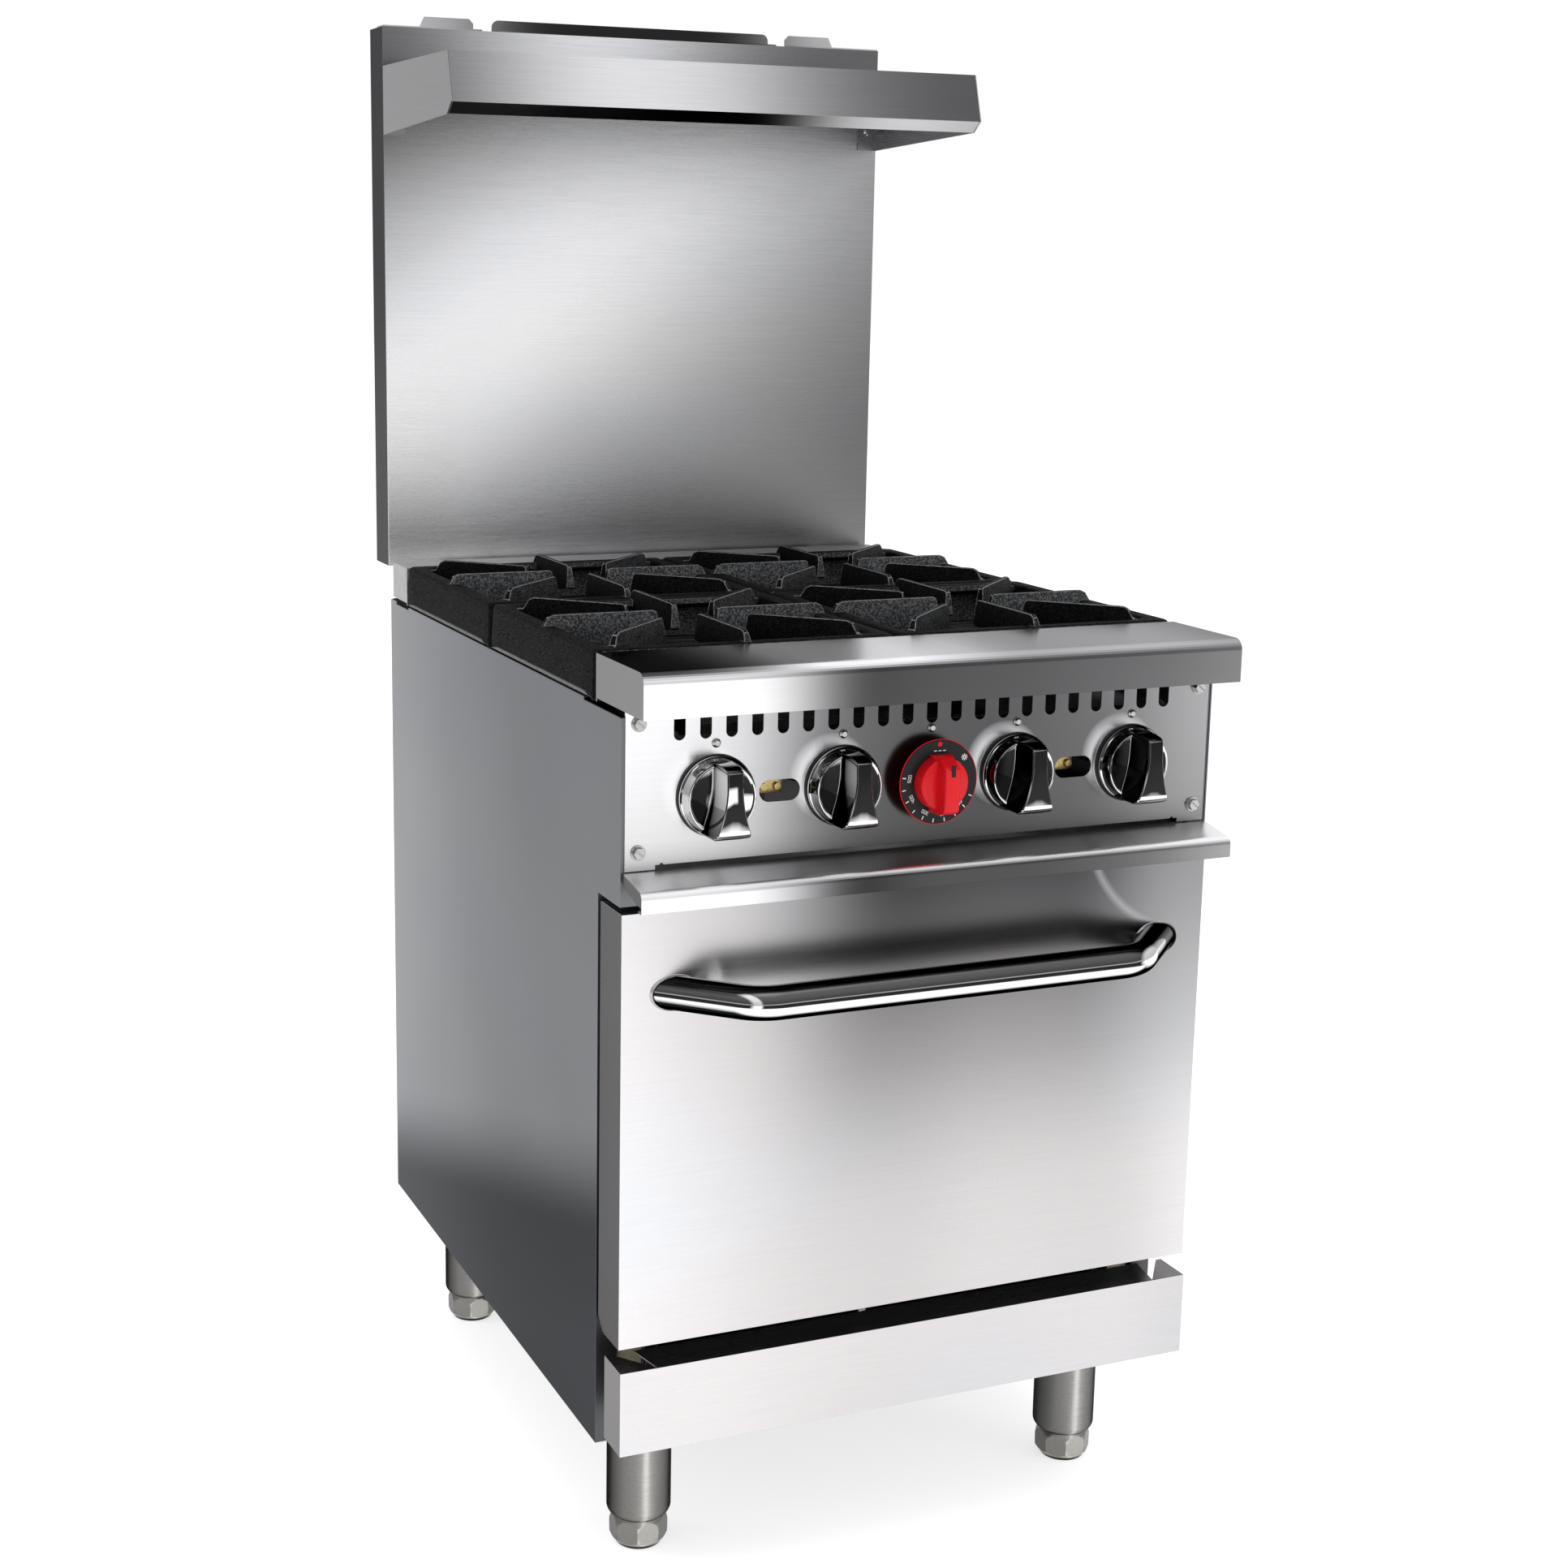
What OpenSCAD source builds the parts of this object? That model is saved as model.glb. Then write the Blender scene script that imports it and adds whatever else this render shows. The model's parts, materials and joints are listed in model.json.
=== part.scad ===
// Commercial gas range: four open burners, one oven, a riser with a high shelf.
// Axes: +X to the cook's right, +Y to the back, +Z up. Origin: centre of the footprint, on the floor.
// Inside the modules Y is measured from the face of the control panel; placed() moves it to the origin.

/* [Body] */
// Width over the side panels
body_w = 610; // [590:1:640]
// Depth from the control panel's face to the back of the body
body_d = 744; // [736:1:760]
// Height of the body's underside above the floor
leg_h = 137; // [130:1:150]
// Height of the side panels' top edge
side_top = 848; // [846:1:852]
// Height of the front rail's top
rail_top = 892; // [888:1:896]
// How far the front rail stands out in front of the control panel
rail_out = 47.4; // [40:0.1:50]
// Setback of the lower body behind the door
recess = 56; // [55:0.5:57]
// Thickness of the visible sheet metal
sheet = 1.5; // [1.2:0.1:1.6]

/* [Door] */
// Height of the door's lower edge
door_bottom = 257; // [256:0.5:258]
// Height of the door's upper edge
door_top = 669; // [660:1:670]
// How far the door's face stands in front of the control panel
door_out = 3; // [2:0.5:4]
// Distance from the door's face to the handle's axis
handle_out = 58; // [50:1:65]
// Outer radius of the handle tube
handle_r = 15.9; // [14:0.1:16]

/* [Controls] */
// Height of the row of knobs
knob_z = 770; // [768:1:773]
// Distance from the centre to the inner burner knobs
knob_inner = 90; // [86:1:92]
// Distance from the centre to the outer burner knobs
knob_outer = 215; // [210:1:218]
// How far the knobs stand out of the panel
knob_h = 46; // [40:1:48]
// Spacing of the vent slots
slot_pitch = 25; // [24:0.5:26]

/* [Grates] */
// Width of one grate
grate_w = 303.5; // [300:0.5:304]
// Depth of one grate
grate_d = 305; // [302:0.5:306]
// Rise of the fingers above the grate's ring
finger_rise = 10.5; // [8:0.5:14]

/* [Riser] */
// Height of the riser's top edge
riser_top = 1484; // [1400:1:1550]
// Depth of the riser
riser_d = 52; // [50:1:60]
// Height of the shelf's top below the riser's top
shelf_drop = 44; // [30:1:60]
// Depth of the shelf in front of the riser
shelf_d = 242; // [200:1:260]

/* [Hidden] */

$fn = 48;
fit = 0.1;
half = body_w / 2;
skin_in = half - sheet;

// Riser and overall depth
riser_y = body_d + 8;
riser_back_y = riser_y + riser_d;
riser_bottom = 885;
lip_h = 13;
mid_y = (riser_back_y - door_out - handle_out - handle_r) / 2;

// Upper body
panel_half = half - 4;
panel_bottom = 707;
panel_top = 860;
upper_bottom = 675;
front_flange = 20;
notch_h = 3;
front_notch_y = 96;
rear_notch = [671, 721];
rail_half = half - 2;
rail_back = 69;
rail_bottom = 851;
rail_bend = 11;
ledge_front = 684;
ledge_back = 741;
ledge_top = 891;
grate_y0 = 70.5;
grate_gap = 1.5;
screw_r = 2.4;
screw_hole_r = 2.6;
corner_screw_x = half - 16.5;
corner_screw_z = [723.5, 839];
trim_screw_z = 817.5;
slot_count = 21;
slot_w = 11;
slot_z = [822, 856];
tray_slot_half = 272;
knob_x = [-knob_outer, -knob_inner, knob_inner, knob_outer];
knob_hole_r = 10;
spindle_r = 4;
hub_r = 8;
pilot_x = (knob_inner + knob_outer) / 2;
pilot_hole = [40, 20];

// Gas line
pipe_r = 13.335;
manifold_r = 12.7;
coupling_r = pipe_r + 4;
inlet_len = 26;
pipe_y = 34;
pipe_z = 806;
pipe_x = 262;
inlet_y = body_d + 31;
burner_x = grate_w / 2 + grate_gap / 2;
burner_y = [grate_y0 + grate_d / 2, grate_y0 + grate_gap + grate_d * 1.5];
burner_mouth_y = 66;

// Oven
oven_half = 254;
oven_floor_z = 300;
oven_top_z = 642;
oven_back = 655;
oven_side_bottom = 205;
liner_t = 2;
face_half = 283;
face_bottom = 248;
opening_z = [302, 640];
rack_z = 472;
rack_half = 248;
guide_levels = [352, 412, 472, 532];
flue_half = 200;
flue_throat_half = 80;
flue_throat_z = [600, 638];

// Door and hinge
door_face = -door_out;
door_half = half - 0.5;
door_back = 50.7;
door_chamfer = 13;
hinge_y = 20;
hinge_z = 272;
hinge_x = 271;
hinge_t = 6;
hinge_pin_r = 4;
hinge_slot = 10;
gasket_half = 264;
gasket_w = 8;
gasket_z = [292, 650];
handle_half = 197;
handle_z = 592.6;

// Tray, kick plate and legs
tray_half = 280;
tray_z = 685.2;
tray_back = 620;
visor_out = 46.8;
visor_top = 706;
visor_bend = 8;
visor_bottom = 680.5;
kick_face = -8;
kick_back = 33.5;
kick_z = [153.5, 236];
leg_x = 241;
leg_y = [105, 650];
leg_r = 31.75;
foot_h = 30;
shank_r = 15;

/* Helpers */

// Box between two opposite corners
module block(lo, hi) {
    translate(lo) cube(hi - lo);
}

module placed() {
    translate([0, -mid_y, 0]) children();
}

module both_sides() {
    children();
    mirror([1, 0, 0]) children();
}

// Outline drawn in (Y, Z), stretched from x0 to x1
module along_x(x0, x1) {
    translate([x0, 0, 0]) rotate([90, 0, 90]) linear_extrude(x1 - x0) children();
}

// Outline drawn in (X, Z), stretched from y0 to y1
module along_y(y0, y1) {
    translate([0, y1, 0]) rotate([90, 0, 0]) linear_extrude(y1 - y0) children();
}

// Turns a piece built along +Z so that it points out of the panel, with its own +Y up
module facing(x, z) {
    translate([x, 0, z]) rotate([90, 0, 0]) children();
}

// Cylinder from p along +Y
module rod_y(p, r, len) {
    translate(p) rotate([-90, 0, 0]) cylinder(r = r, h = len);
}

// Cylinder from p along +X
module rod_x(p, r, len) {
    translate(p) rotate([0, 90, 0]) cylinder(r = r, h = len);
}

// Cylinder between two points
module rod(a, b, r) {
    d = b - a;
    translate(a) rotate([0, acos(d[2] / norm(d)), atan2(d[1], d[0])]) cylinder(r = r, h = norm(d));
}

// Pipe run through a list of points, with a ball fitting at each corner
module run(points, r, ball) {
    for (i = [0 : len(points) - 2]) rod(points[i], points[i + 1], r);
    for (i = [1 : len(points) - 2]) translate(points[i]) sphere(r = ball);
}

function unit(v) = v / norm(v);
function normal(a, b) = let (u = unit(b - a)) [-u[1], u[0]];
function mitre(p, i) =
    i == 0 ? normal(p[0], p[1]) :
    i == len(p) - 1 ? normal(p[i - 1], p[i]) :
    let (m = normal(p[i - 1], p[i]), n = normal(p[i], p[i + 1])) (m + n) / (1 + m * n);
function arc(c, r, a0, a1, n = 8) =
    [for (i = [0 : n]) let (a = a0 + (a1 - a0) * i / n) c + r * [cos(a), sin(a)]];

// Section of a bent sheet: the path is one face, the sheet lies to its left
module bent(path, t = sheet) {
    polygon(concat(path, [for (i = [len(path) - 1 : -1 : 0]) path[i] + mitre(path, i) * t]));
}

module slot2d(w, h) {
    r = min(w, h) / 2;
    for (s = [-1, 1]) translate(w > h ? [s * (w / 2 - r), 0] : [0, s * (h / 2 - r)]) circle(r = r);
    square(w > h ? [w - 2 * r, h] : [w, h - 2 * r], center = true);
}

/* Body shell */

module side_outline() {
    low = side_top - notch_h;
    polygon([
        [0, upper_bottom], [0, low], [front_notch_y, low], [front_notch_y, side_top],
        [rear_notch[0], side_top], [rear_notch[0], low], [rear_notch[1], low], [rear_notch[1], side_top],
        [body_d, side_top], [body_d, leg_h], [recess, leg_h], [recess, upper_bottom],
    ]);
}

module side_panel() {
    in_x = half - front_flange;
    joggle = sheet + fit;
    difference() {
        union() {
            along_x(skin_in, half) side_outline();
            block([in_x, 0, upper_bottom], [half, sheet, panel_bottom - 1]);
            block([in_x, joggle - sheet, panel_bottom - 7], [half, joggle, panel_bottom - 1]);
            block([in_x, joggle, panel_bottom - 7], [half, joggle + sheet, side_top - notch_h]);
            block([in_x, 0, upper_bottom], [half, recess, upper_bottom + sheet]);
            block([face_half + 0.5, recess, leg_h], [half, recess + sheet, upper_bottom + sheet]);
            block([half - 30, front_notch_y, side_top - sheet], [half, rear_notch[0], side_top]);
            block([in_x, body_d - sheet, leg_h], [half, body_d, side_top]);
            block([half - 25, recess, leg_h], [half, body_d, leg_h + sheet]);
        }
        for (z = corner_screw_z) rod_y([corner_screw_x, -1, z], screw_hole_r, 10);
    }
}

module side_right() {
    color("silver") placed() side_panel();
}

module side_left() {
    color("silver") placed() mirror([1, 0, 0]) side_panel();
}

module back_panel() {
    y0 = ledge_back;
    louvre = [60, 5];
    color("gainsboro") placed() difference() {
        block([-skin_in + fit, y0, leg_h + 2], [skin_in - fit, body_d - sheet - fit, side_top + 1]);
        block(
            [-flue_throat_half - 2, y0 - 1, flue_throat_z[0] - 2],
            [flue_throat_half + 2, body_d, flue_throat_z[1] + 2]);
        rod_y([pipe_x, y0 - 1, pipe_z], coupling_r + 1.5, 5);
        for (x = [-210 : 70 : 210], z = [230, 250, 270])
            block([x - louvre[0] / 2, y0 - 1, z], [x + louvre[0] / 2, body_d, z + louvre[1]]);
    }
}

module base_frame() {
    bar = 30;
    t = 3;
    in_x = half - 25 - 0.5;
    y0 = 60;
    y1 = body_d - 4;
    color("dimgray") placed() {
        both_sides() {
            block([in_x - bar, y0, leg_h], [in_x, y1, leg_h + t]);
            block([in_x - t, y0, leg_h], [in_x, y1, leg_h + bar]);
            for (y = leg_y) block([leg_x - 50, y - 45, leg_h], [in_x, y + 50, leg_h + t]);
            block([240, kick_back + 1, leg_h + 13], [240 + t, y0 + t, kick_z[1] - 11]);
            block([240, kick_back + 1, leg_h + 40], [262, kick_back + 1 + t, kick_z[1] - 11]);
        }
        for (y = [y0, y1 - t]) block([-in_x + t, y, leg_h], [in_x - t, y + t, leg_h + bar]);
        block([-in_x + t, y0, leg_h + 1], [in_x - t, y1, leg_h + t]);
    }
}

/* Legs */

module leg_tube() {
    z0 = foot_h + 0.3;
    round_r = 9;
    difference() {
        rotate_extrude() difference() {
            polygon(concat(
                [[0, z0], [leg_r - round_r + 2, z0]],
                [for (a = [10 : 10 : 90]) [leg_r - round_r + round_r * sin(a), z0 + round_r * (1 - cos(a))]],
                [[leg_r, leg_h], [0, leg_h]]
            ));
            translate([-1, z0 + 30]) square([leg_r - 1, leg_h]);
        }
        translate([0, 0, z0 - 1]) cylinder(r = shank_r + 0.05, h = 40);
    }
    translate([0, 0, leg_h - 3]) cylinder(r = leg_r - 1, h = 3);
}

module leg_tubes() {
    color("silver") placed() for (x = [-leg_x, leg_x], y = leg_y) translate([x, y, 0]) leg_tube();
}

// Adjustable foot: eight flats below, a round shank that slides in the leg
module foot(x, y) {
    across = 53;
    color("darkgray") placed() translate([x, y, 0]) {
        intersection() {
            rotate([0, 0, 22.5]) cylinder(d = across / cos(22.5), h = foot_h, $fn = 8);
            rotate_extrude() polygon([
                [0, 0], [22.5, 0], [24, 3], [28.4, 8], [28.8, 21], [27.5, 26], [25.5, foot_h], [0, foot_h],
            ]);
        }
        cylinder(r = shank_r, h = foot_h + 55);
    }
}

module foot_front_left() { foot(-leg_x, leg_y[0]); }
module foot_front_right() { foot(leg_x, leg_y[0]); }
module foot_rear_left() { foot(-leg_x, leg_y[1]); }
module foot_rear_right() { foot(leg_x, leg_y[1]); }

/* Cooktop */

// Outer face of the rail, from its back edge forward and down to the hem
function rail_path() = concat(
    [[rail_back, side_top], [rail_back, rail_top]],
    arc([-rail_out + rail_bend, rail_top - rail_bend], rail_bend, 90, 180),
    [[-rail_out, rail_bottom], [-rail_out + 12, rail_bottom]]
);

module front_rail() {
    color("silver") placed() {
        along_x(-rail_half, rail_half) bent(rail_path());
        both_sides() along_x(rail_half - sheet, rail_half) polygon(concat(
            [[rail_back, rail_bottom], [rail_back, rail_top]],
            arc([-rail_out + rail_bend, rail_top - rail_bend], rail_bend, 90, 180),
            [[-rail_out, rail_bottom]]
        ));
    }
}

module rear_ledge() {
    path = [
        [ledge_back, rail_bottom], [ledge_back, ledge_top],
        [ledge_front, ledge_top], [ledge_front, side_top],
    ];
    color("gainsboro") placed() {
        along_x(-rail_half, rail_half) bent(path);
        both_sides() block(
            [rail_half - sheet, ledge_front, rail_bottom],
            [rail_half, ledge_back, ledge_top]);
    }
}

module grate_support() {
    z0 = side_top - 22;
    z1 = side_top - 10;
    in_x = half - 31;
    y0 = 60;
    y1 = 692;
    mid = grate_y0 + grate_d + grate_gap / 2;
    color("dimgray") placed() {
        block([-12, y0, z1], [12, y1, side_top]);
        both_sides() block([in_x - 12, y0, z0], [in_x, y1, side_top]);
        for (y = [[y0, 20], [mid - 8, 20], [y1 - 24, 24]])
            block([-in_x, y[0], z1], [in_x, y[0] + y[1], side_top]);
        for (y = burner_y) block([-in_x, y + 73, z0], [in_x, y + 85, z1]);
        for (y = burner_y) block([-12, y + 73, z0], [12, y + 85, side_top - 1]);
    }
}

module rounded2d(w, h, r) {
    square([w - 2 * r, h], center = true);
    square([w, h - 2 * r], center = true);
    for (sx = [-1, 1], sy = [-1, 1]) translate([sx * (w / 2 - r), sy * (h / 2 - r)]) circle(r = r);
}

// One finger: a plate in the (radius, Z) plane, rooted in the ring and deeper there than at its tip
module finger(r_out, root, r_in) {
    ring = rail_top + 1;
    top = ring + finger_rise;
    t = 6;
    translate([0, t / 2, 0]) rotate([90, 0, 0]) linear_extrude(t) polygon([
        [r_out, top], [r_out + 6, ring - 1], [root, ring - 1], [root, ring - 14], [r_out - 45, ring - 24],
        [r_in + 6, top - 27], [r_in, top - 9], [r_in, top],
    ]);
}

module grate() {
    z1 = rail_top + 1;
    wall = 6;
    ledge = 17;
    foot_w = 26;
    hw = grate_w / 2;
    hd = grate_d / 2;
    difference() {
        union() {
            difference() {
                block([-hw, -hd, side_top], [hw, hd, z1]);
                block([-hw + wall, -hd + wall, side_top - 1], [hw - wall, hd - wall, z1 - wall]);
                translate([0, 0, side_top]) linear_extrude(z1 - side_top + 1)
                    rounded2d(grate_w - 2 * ledge, grate_d - 2 * ledge, 24);
            }
            for (k = [0 : 3]) rotate([0, 0, 90 * k]) finger(141, k % 2 == 0 ? hw - 3 : hd - 3, 32);
            for (k = [0 : 3]) rotate([0, 0, 45 + 90 * k]) finger(168, 200, 64);
        }
        block([-hw + foot_w, -hd - 1, side_top - 1], [hw - foot_w, hd + 1, side_top + 5]);
        block([-hw - 1, -hd + foot_w, side_top - 1], [hw + 1, hd - foot_w, side_top + 5]);
    }
}

module grate_at(sx, i) {
    color("#222224") placed() translate([sx * burner_x, burner_y[i], 0]) grate();
}

module grate_front_left() { grate_at(-1, 0); }
module grate_front_right() { grate_at(1, 0); }
module grate_rear_left() { grate_at(-1, 1); }
module grate_rear_right() { grate_at(1, 1); }

/* Gas train */

// Cast burner: head and neck, with a mixing tube to its valve and a lug on the cross bar
module burner(sx, y, mouth_x) {
    tube_r = 13;
    head_z = side_top - 10;
    c = [sx * burner_x, y, knob_z];
    m = [sx * mouth_x, burner_mouth_y, knob_z];
    difference() {
        union() {
            rod(m, c, tube_r);
            translate([c[0], c[1], knob_z - tube_r - 2]) cylinder(r = 16, h = head_z - knob_z + tube_r + 4);
            translate([c[0], c[1], head_z]) cylinder(r = 45, h = 20);
            block([c[0] - 10, c[1] + 30, head_z], [c[0] + 10, c[1] + 84, head_z + 5]);
        }
        translate([c[0], c[1], head_z + 6]) cylinder(r = 34, h = 20);
        rod(m - unit(c - m), m + unit(c - m) * 60, tube_r - 2.5);
    }
}

module burner_bodies() {
    color("#303032") placed() for (sx = [-1, 1]) {
        burner(sx, burner_y[0], knob_inner);
        burner(sx, burner_y[1], knob_outer);
    }
}

module burner_caps() {
    z = side_top + 10;
    color("#1c1c1e") placed() for (sx = [-1, 1], y = burner_y) translate([sx * burner_x, y, z]) {
        rotate_extrude() polygon([[0, 0], [41, 0], [41, 5], [36, 8], [14, 10], [0, 10]]);
        translate([0, 0, -8]) cylinder(r = 33.5, h = 9);
    }
}

module gas_manifold() {
    coupling_y = inlet_y - inlet_len - 16;
    path = [[-pipe_x, pipe_y, pipe_z], [pipe_x, pipe_y, pipe_z], [pipe_x, coupling_y + 1, pipe_z]];
    color("slategray") placed() difference() {
        union() {
            run(path, manifold_r, coupling_r);
            rod_x([-pipe_x, pipe_y, pipe_z], coupling_r, 22);
            rod_y([pipe_x, coupling_y, pipe_z], coupling_r, 16);
            rod_y([pipe_x, inlet_y - inlet_len - 1, pipe_z], pipe_r, inlet_len + 1);
        }
        rod_y([pipe_x, inlet_y - 60, pipe_z], pipe_r - 2.9, 61);
    }
}

// Cocks on the manifold: spindle forwards, hood backwards into the burner's tube
module burner_valves() {
    body_y = 8;
    color("#b08d3c") placed() for (x = knob_x) {
        rod_y([x, body_y, knob_z], 11, 32);
        rod_y([x, -10, knob_z], spindle_r, 20);
        translate([x, pipe_y - 4, knob_z]) cylinder(r = 8, h = pipe_z - manifold_r - knob_z - fit);
        rod_y([x, body_y + 30, knob_z], 7, 24);
    }
}

module pilot_valves() {
    color("#c9a24b") placed() for (x = [-pilot_x, pilot_x]) {
        block([x - 12, 22, knob_z - 7], [x + 12, pipe_y + 8, knob_z + 8]);
        translate([x, pipe_y, knob_z]) cylinder(r = 5, h = pipe_z - manifold_r - knob_z - fit);
        for (s = [-1, 1]) rod_y([x + s * 7, 19, knob_z - 1], 3.4, 4);
    }
}

module gas_tubes() {
    low = knob_z - 20;
    supply_x = half - 13;
    supply_y = 110;
    color("#c0c0a8") placed() {
        for (x = [-pilot_x, pilot_x]) run([
            [x, pipe_y + 4, knob_z - 7 - fit], [x, pipe_y + 4, low],
            [x, burner_y[0] + 153, low], [x, burner_y[0] + 153, side_top - 12],
        ], 2.2, 3.2);
        run([
            [20, 36, knob_z - 20 - fit], [20, 36, knob_z - 45], [supply_x, 36, knob_z - 45],
            [supply_x, supply_y, knob_z - 45], [supply_x, supply_y, 190],
            [0, supply_y, 190], [0, supply_y, 240],
        ], 6, 8);
        rod_y([0, supply_y, 240], 7, 14);
    }
}

module thermostat_body() {
    color("#9a9a96") placed() {
        block([-28, 10, knob_z - 20], [28, 50, knob_z + 14]);
        rod_y([0, -10, knob_z], spindle_r, 22);
        translate([0, pipe_y, knob_z]) cylinder(r = 8, h = pipe_z - manifold_r - knob_z - fit);
    }
}

module thermostat_bulb() {
    x = -240;
    z = oven_top_z - 6;
    out_x = -half + 13;
    wire_z = knob_z - 35;
    color("#b87333") placed() {
        run([
            [x, 122, z], [out_x, 122, z], [out_x, 122, wire_z], [out_x, 26, wire_z],
            [-15, 26, wire_z], [-15, 26, knob_z - 20 - fit],
        ], 1.2, 1.8);
        rod_y([x, 118, z], 4, 240);
    }
}

/* Controls */

module control_panel() {
    relief = 4;
    color("silver") placed() difference() {
        union() {
            block([-panel_half, 0, panel_bottom], [panel_half, sheet, panel_top]);
            block(
                [-tray_slot_half, 0, panel_bottom + relief],
                [tray_slot_half, 20, panel_bottom + relief + sheet]);
        }
        along_y(-1, sheet + 1) for (i = [0 : slot_count - 1])
            translate([(i - (slot_count - 1) / 2) * slot_pitch, (slot_z[0] + slot_z[1]) / 2])
                slot2d(slot_w, slot_z[1] - slot_z[0]);
        along_y(-1, sheet + 1) for (x = [-pilot_x, pilot_x])
            translate([x, knob_z]) slot2d(pilot_hole[0], pilot_hole[1]);
        for (x = concat(knob_x, [0])) rod_y([x, -1, knob_z], knob_hole_r, 4);
        for (x = concat(knob_x, [0])) rod_y([x, -1, trim_screw_z], screw_hole_r, 4);
        for (x = [-corner_screw_x, corner_screw_x], z = corner_screw_z) rod_y([x, -1, z], screw_hole_r, 4);
        block([-tray_slot_half, -1, panel_bottom - 1], [tray_slot_half, sheet + 1, panel_bottom + relief]);
        for (s = [-1, 1]) rod_y([s * (tray_slot_half - 6), -1, panel_bottom + relief], 1.6, 30);
    }
}

module panel_screws() {
    color("lightgray") placed() for (x = [-corner_screw_x, corner_screw_x], z = corner_screw_z) {
        rod_y([x, -1.2, z], 7, 1.2);
        difference() {
            translate([x, -1.2, z]) rotate([90, 0, 0]) cylinder(r = 5.6, h = 4, $fn = 6);
            translate([x, -5.2, z]) rotate([0, 40, 0]) cube([14, 2.4, 1.2], center = true);
        }
        rod_y([x, -1.2, z], screw_r, 10);
    }
}

module trim_screws() {
    color("lightgray") placed() for (x = concat(knob_x, [0])) {
        rod_y([x, -1, trim_screw_z], 4.2, 1);
        facing(x, trim_screw_z) translate([0, 0, 0.9]) cylinder(r1 = 4, r2 = 2.4, h = 1.8);
        rod_y([x, -1, trim_screw_z], screw_r, 8);
    }
}

module knob_bezels() {
    color("#1d1d1f") placed() for (x = knob_x) facing(x, knob_z) difference() {
        cylinder(r = 37.5, h = 2.6);
        translate([0, 0, -1]) cylinder(r = hub_r + 3, h = 5);
    }
}

function grip_half(y) = 6.8 + (y < 6 ? 0.0042 : 0.0022) * pow(y - 6, 2);

// Burner knob, built along +Z with its grip upright
module burner_knob() {
    skirt = [[0, 3.4], [36.6, 3.4], [36.6, 5.5], [34.6, 15.5], [33, 17], [0, 17]];
    difference() {
        union() {
            rotate_extrude() polygon(skirt);
            translate([0, 0, 16.9]) linear_extrude(knob_h - 16.9) intersection() {
                circle(r = 35);
                polygon(concat(
                    [for (y = [-36 : 4 : 36]) [grip_half(y), y]],
                    [for (y = [36 : -4 : -36]) [-grip_half(y), y]]
                ));
            }
            translate([0, 0, -6]) cylinder(r = hub_r, h = 10);
        }
        translate([0, 0, -7]) cylinder(r = spindle_r + 0.06, h = 19);
    }
}

module knob_at(i) {
    color("lightsteelblue") placed() facing(knob_x[i], knob_z) burner_knob();
}

module knob_1() { knob_at(0); }
module knob_2() { knob_at(1); }
module knob_3() { knob_at(2); }
module knob_4() { knob_at(3); }

module thermostat_knob() {
    flange = [
        [0, 3.4], [38, 3.4], [40, 15.4], [40, 16], [25.5, 16], [24.6, 27], [22.5, 29.5], [0, 29.5],
    ];
    color("#d3221f") placed() facing(0, knob_z) difference() {
        union() {
            rotate_extrude() polygon(flange);
            translate([0, 0, 29.4]) linear_extrude(knob_h - 1.4 - 29.4) intersection() {
                translate([0, -1]) circle(r = 27);
                square([17, 60], center = true);
            }
            translate([0, 0, -6]) cylinder(r = hub_r, h = 10);
        }
        translate([0, 0, -7]) cylinder(r = spindle_r + 0.06, h = 19);
    }
}

module thermostat_dial() {
    color("#18181a") placed() facing(0, knob_z) translate([0, 0, 16]) difference() {
        cylinder(r = 39.2, h = 0.8);
        translate([0, 0, -1]) cylinder(r = 25.6, h = 3);
    }
}

/* Oven */

module oven_face_frame() {
    lip = 8;
    color("gray") placed() {
        difference() {
            block([-face_half, recess, face_bottom], [face_half, recess + sheet, upper_bottom + sheet]);
            block([-oven_half, recess - 1, opening_z[0]], [oven_half, recess + 5, opening_z[1]]);
            both_sides() block(
                [hinge_x - hinge_slot / 2, recess - 1, hinge_z - 14],
                [hinge_x + hinge_slot / 2, recess + 5, hinge_z + 13]);
        }
        block([-face_half, 4, upper_bottom], [face_half, recess + sheet, upper_bottom + sheet]);
        block([-face_half, 4, upper_bottom], [face_half, 4 + sheet, upper_bottom + lip]);
    }
}

module oven_liner() {
    o = oven_half + liner_t;
    y0 = recess + sheet + fit;
    ledge_z = oven_floor_z - 5;
    color("#3c4652") placed() difference() {
        union() {
            difference() {
                block([-o, y0, oven_side_bottom], [o, oven_back, oven_top_z + liner_t]);
                block(
                    [-oven_half, y0 - 1, oven_side_bottom - 1],
                    [oven_half, oven_back - liner_t, oven_top_z]);
            }
            both_sides() block(
                [oven_half - 10, y0 + 2, ledge_z],
                [oven_half + 1, oven_back - 1, ledge_z + liner_t]);
        }
        block([-flue_throat_half + 4, oven_back - 10, flue_throat_z[0] + 4],
            [flue_throat_half - 4, oven_back + 5, flue_throat_z[1] - 4]);
        rod_x([-oven_half - 10, 122, oven_top_z - 6], 2.5, 20);
    }
}

module oven_insulation() {
    o = oven_half + 27;
    i = oven_half + liner_t + 0.2;
    color("khaki") placed() difference() {
        block([-o, 62, oven_side_bottom], [o, 700, upper_bottom - 1]);
        block([-i, 50, oven_side_bottom - 1], [i, oven_back + 0.2, oven_top_z + liner_t + 0.2]);
        block([-flue_throat_half - 1, oven_back - 1, flue_throat_z[0] - 1],
            [flue_throat_half + 1, 710, flue_throat_z[1] + 1]);
        rod_x([-o - 1, 122, oven_top_z - 6], 3, 40);
    }
}

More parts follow.
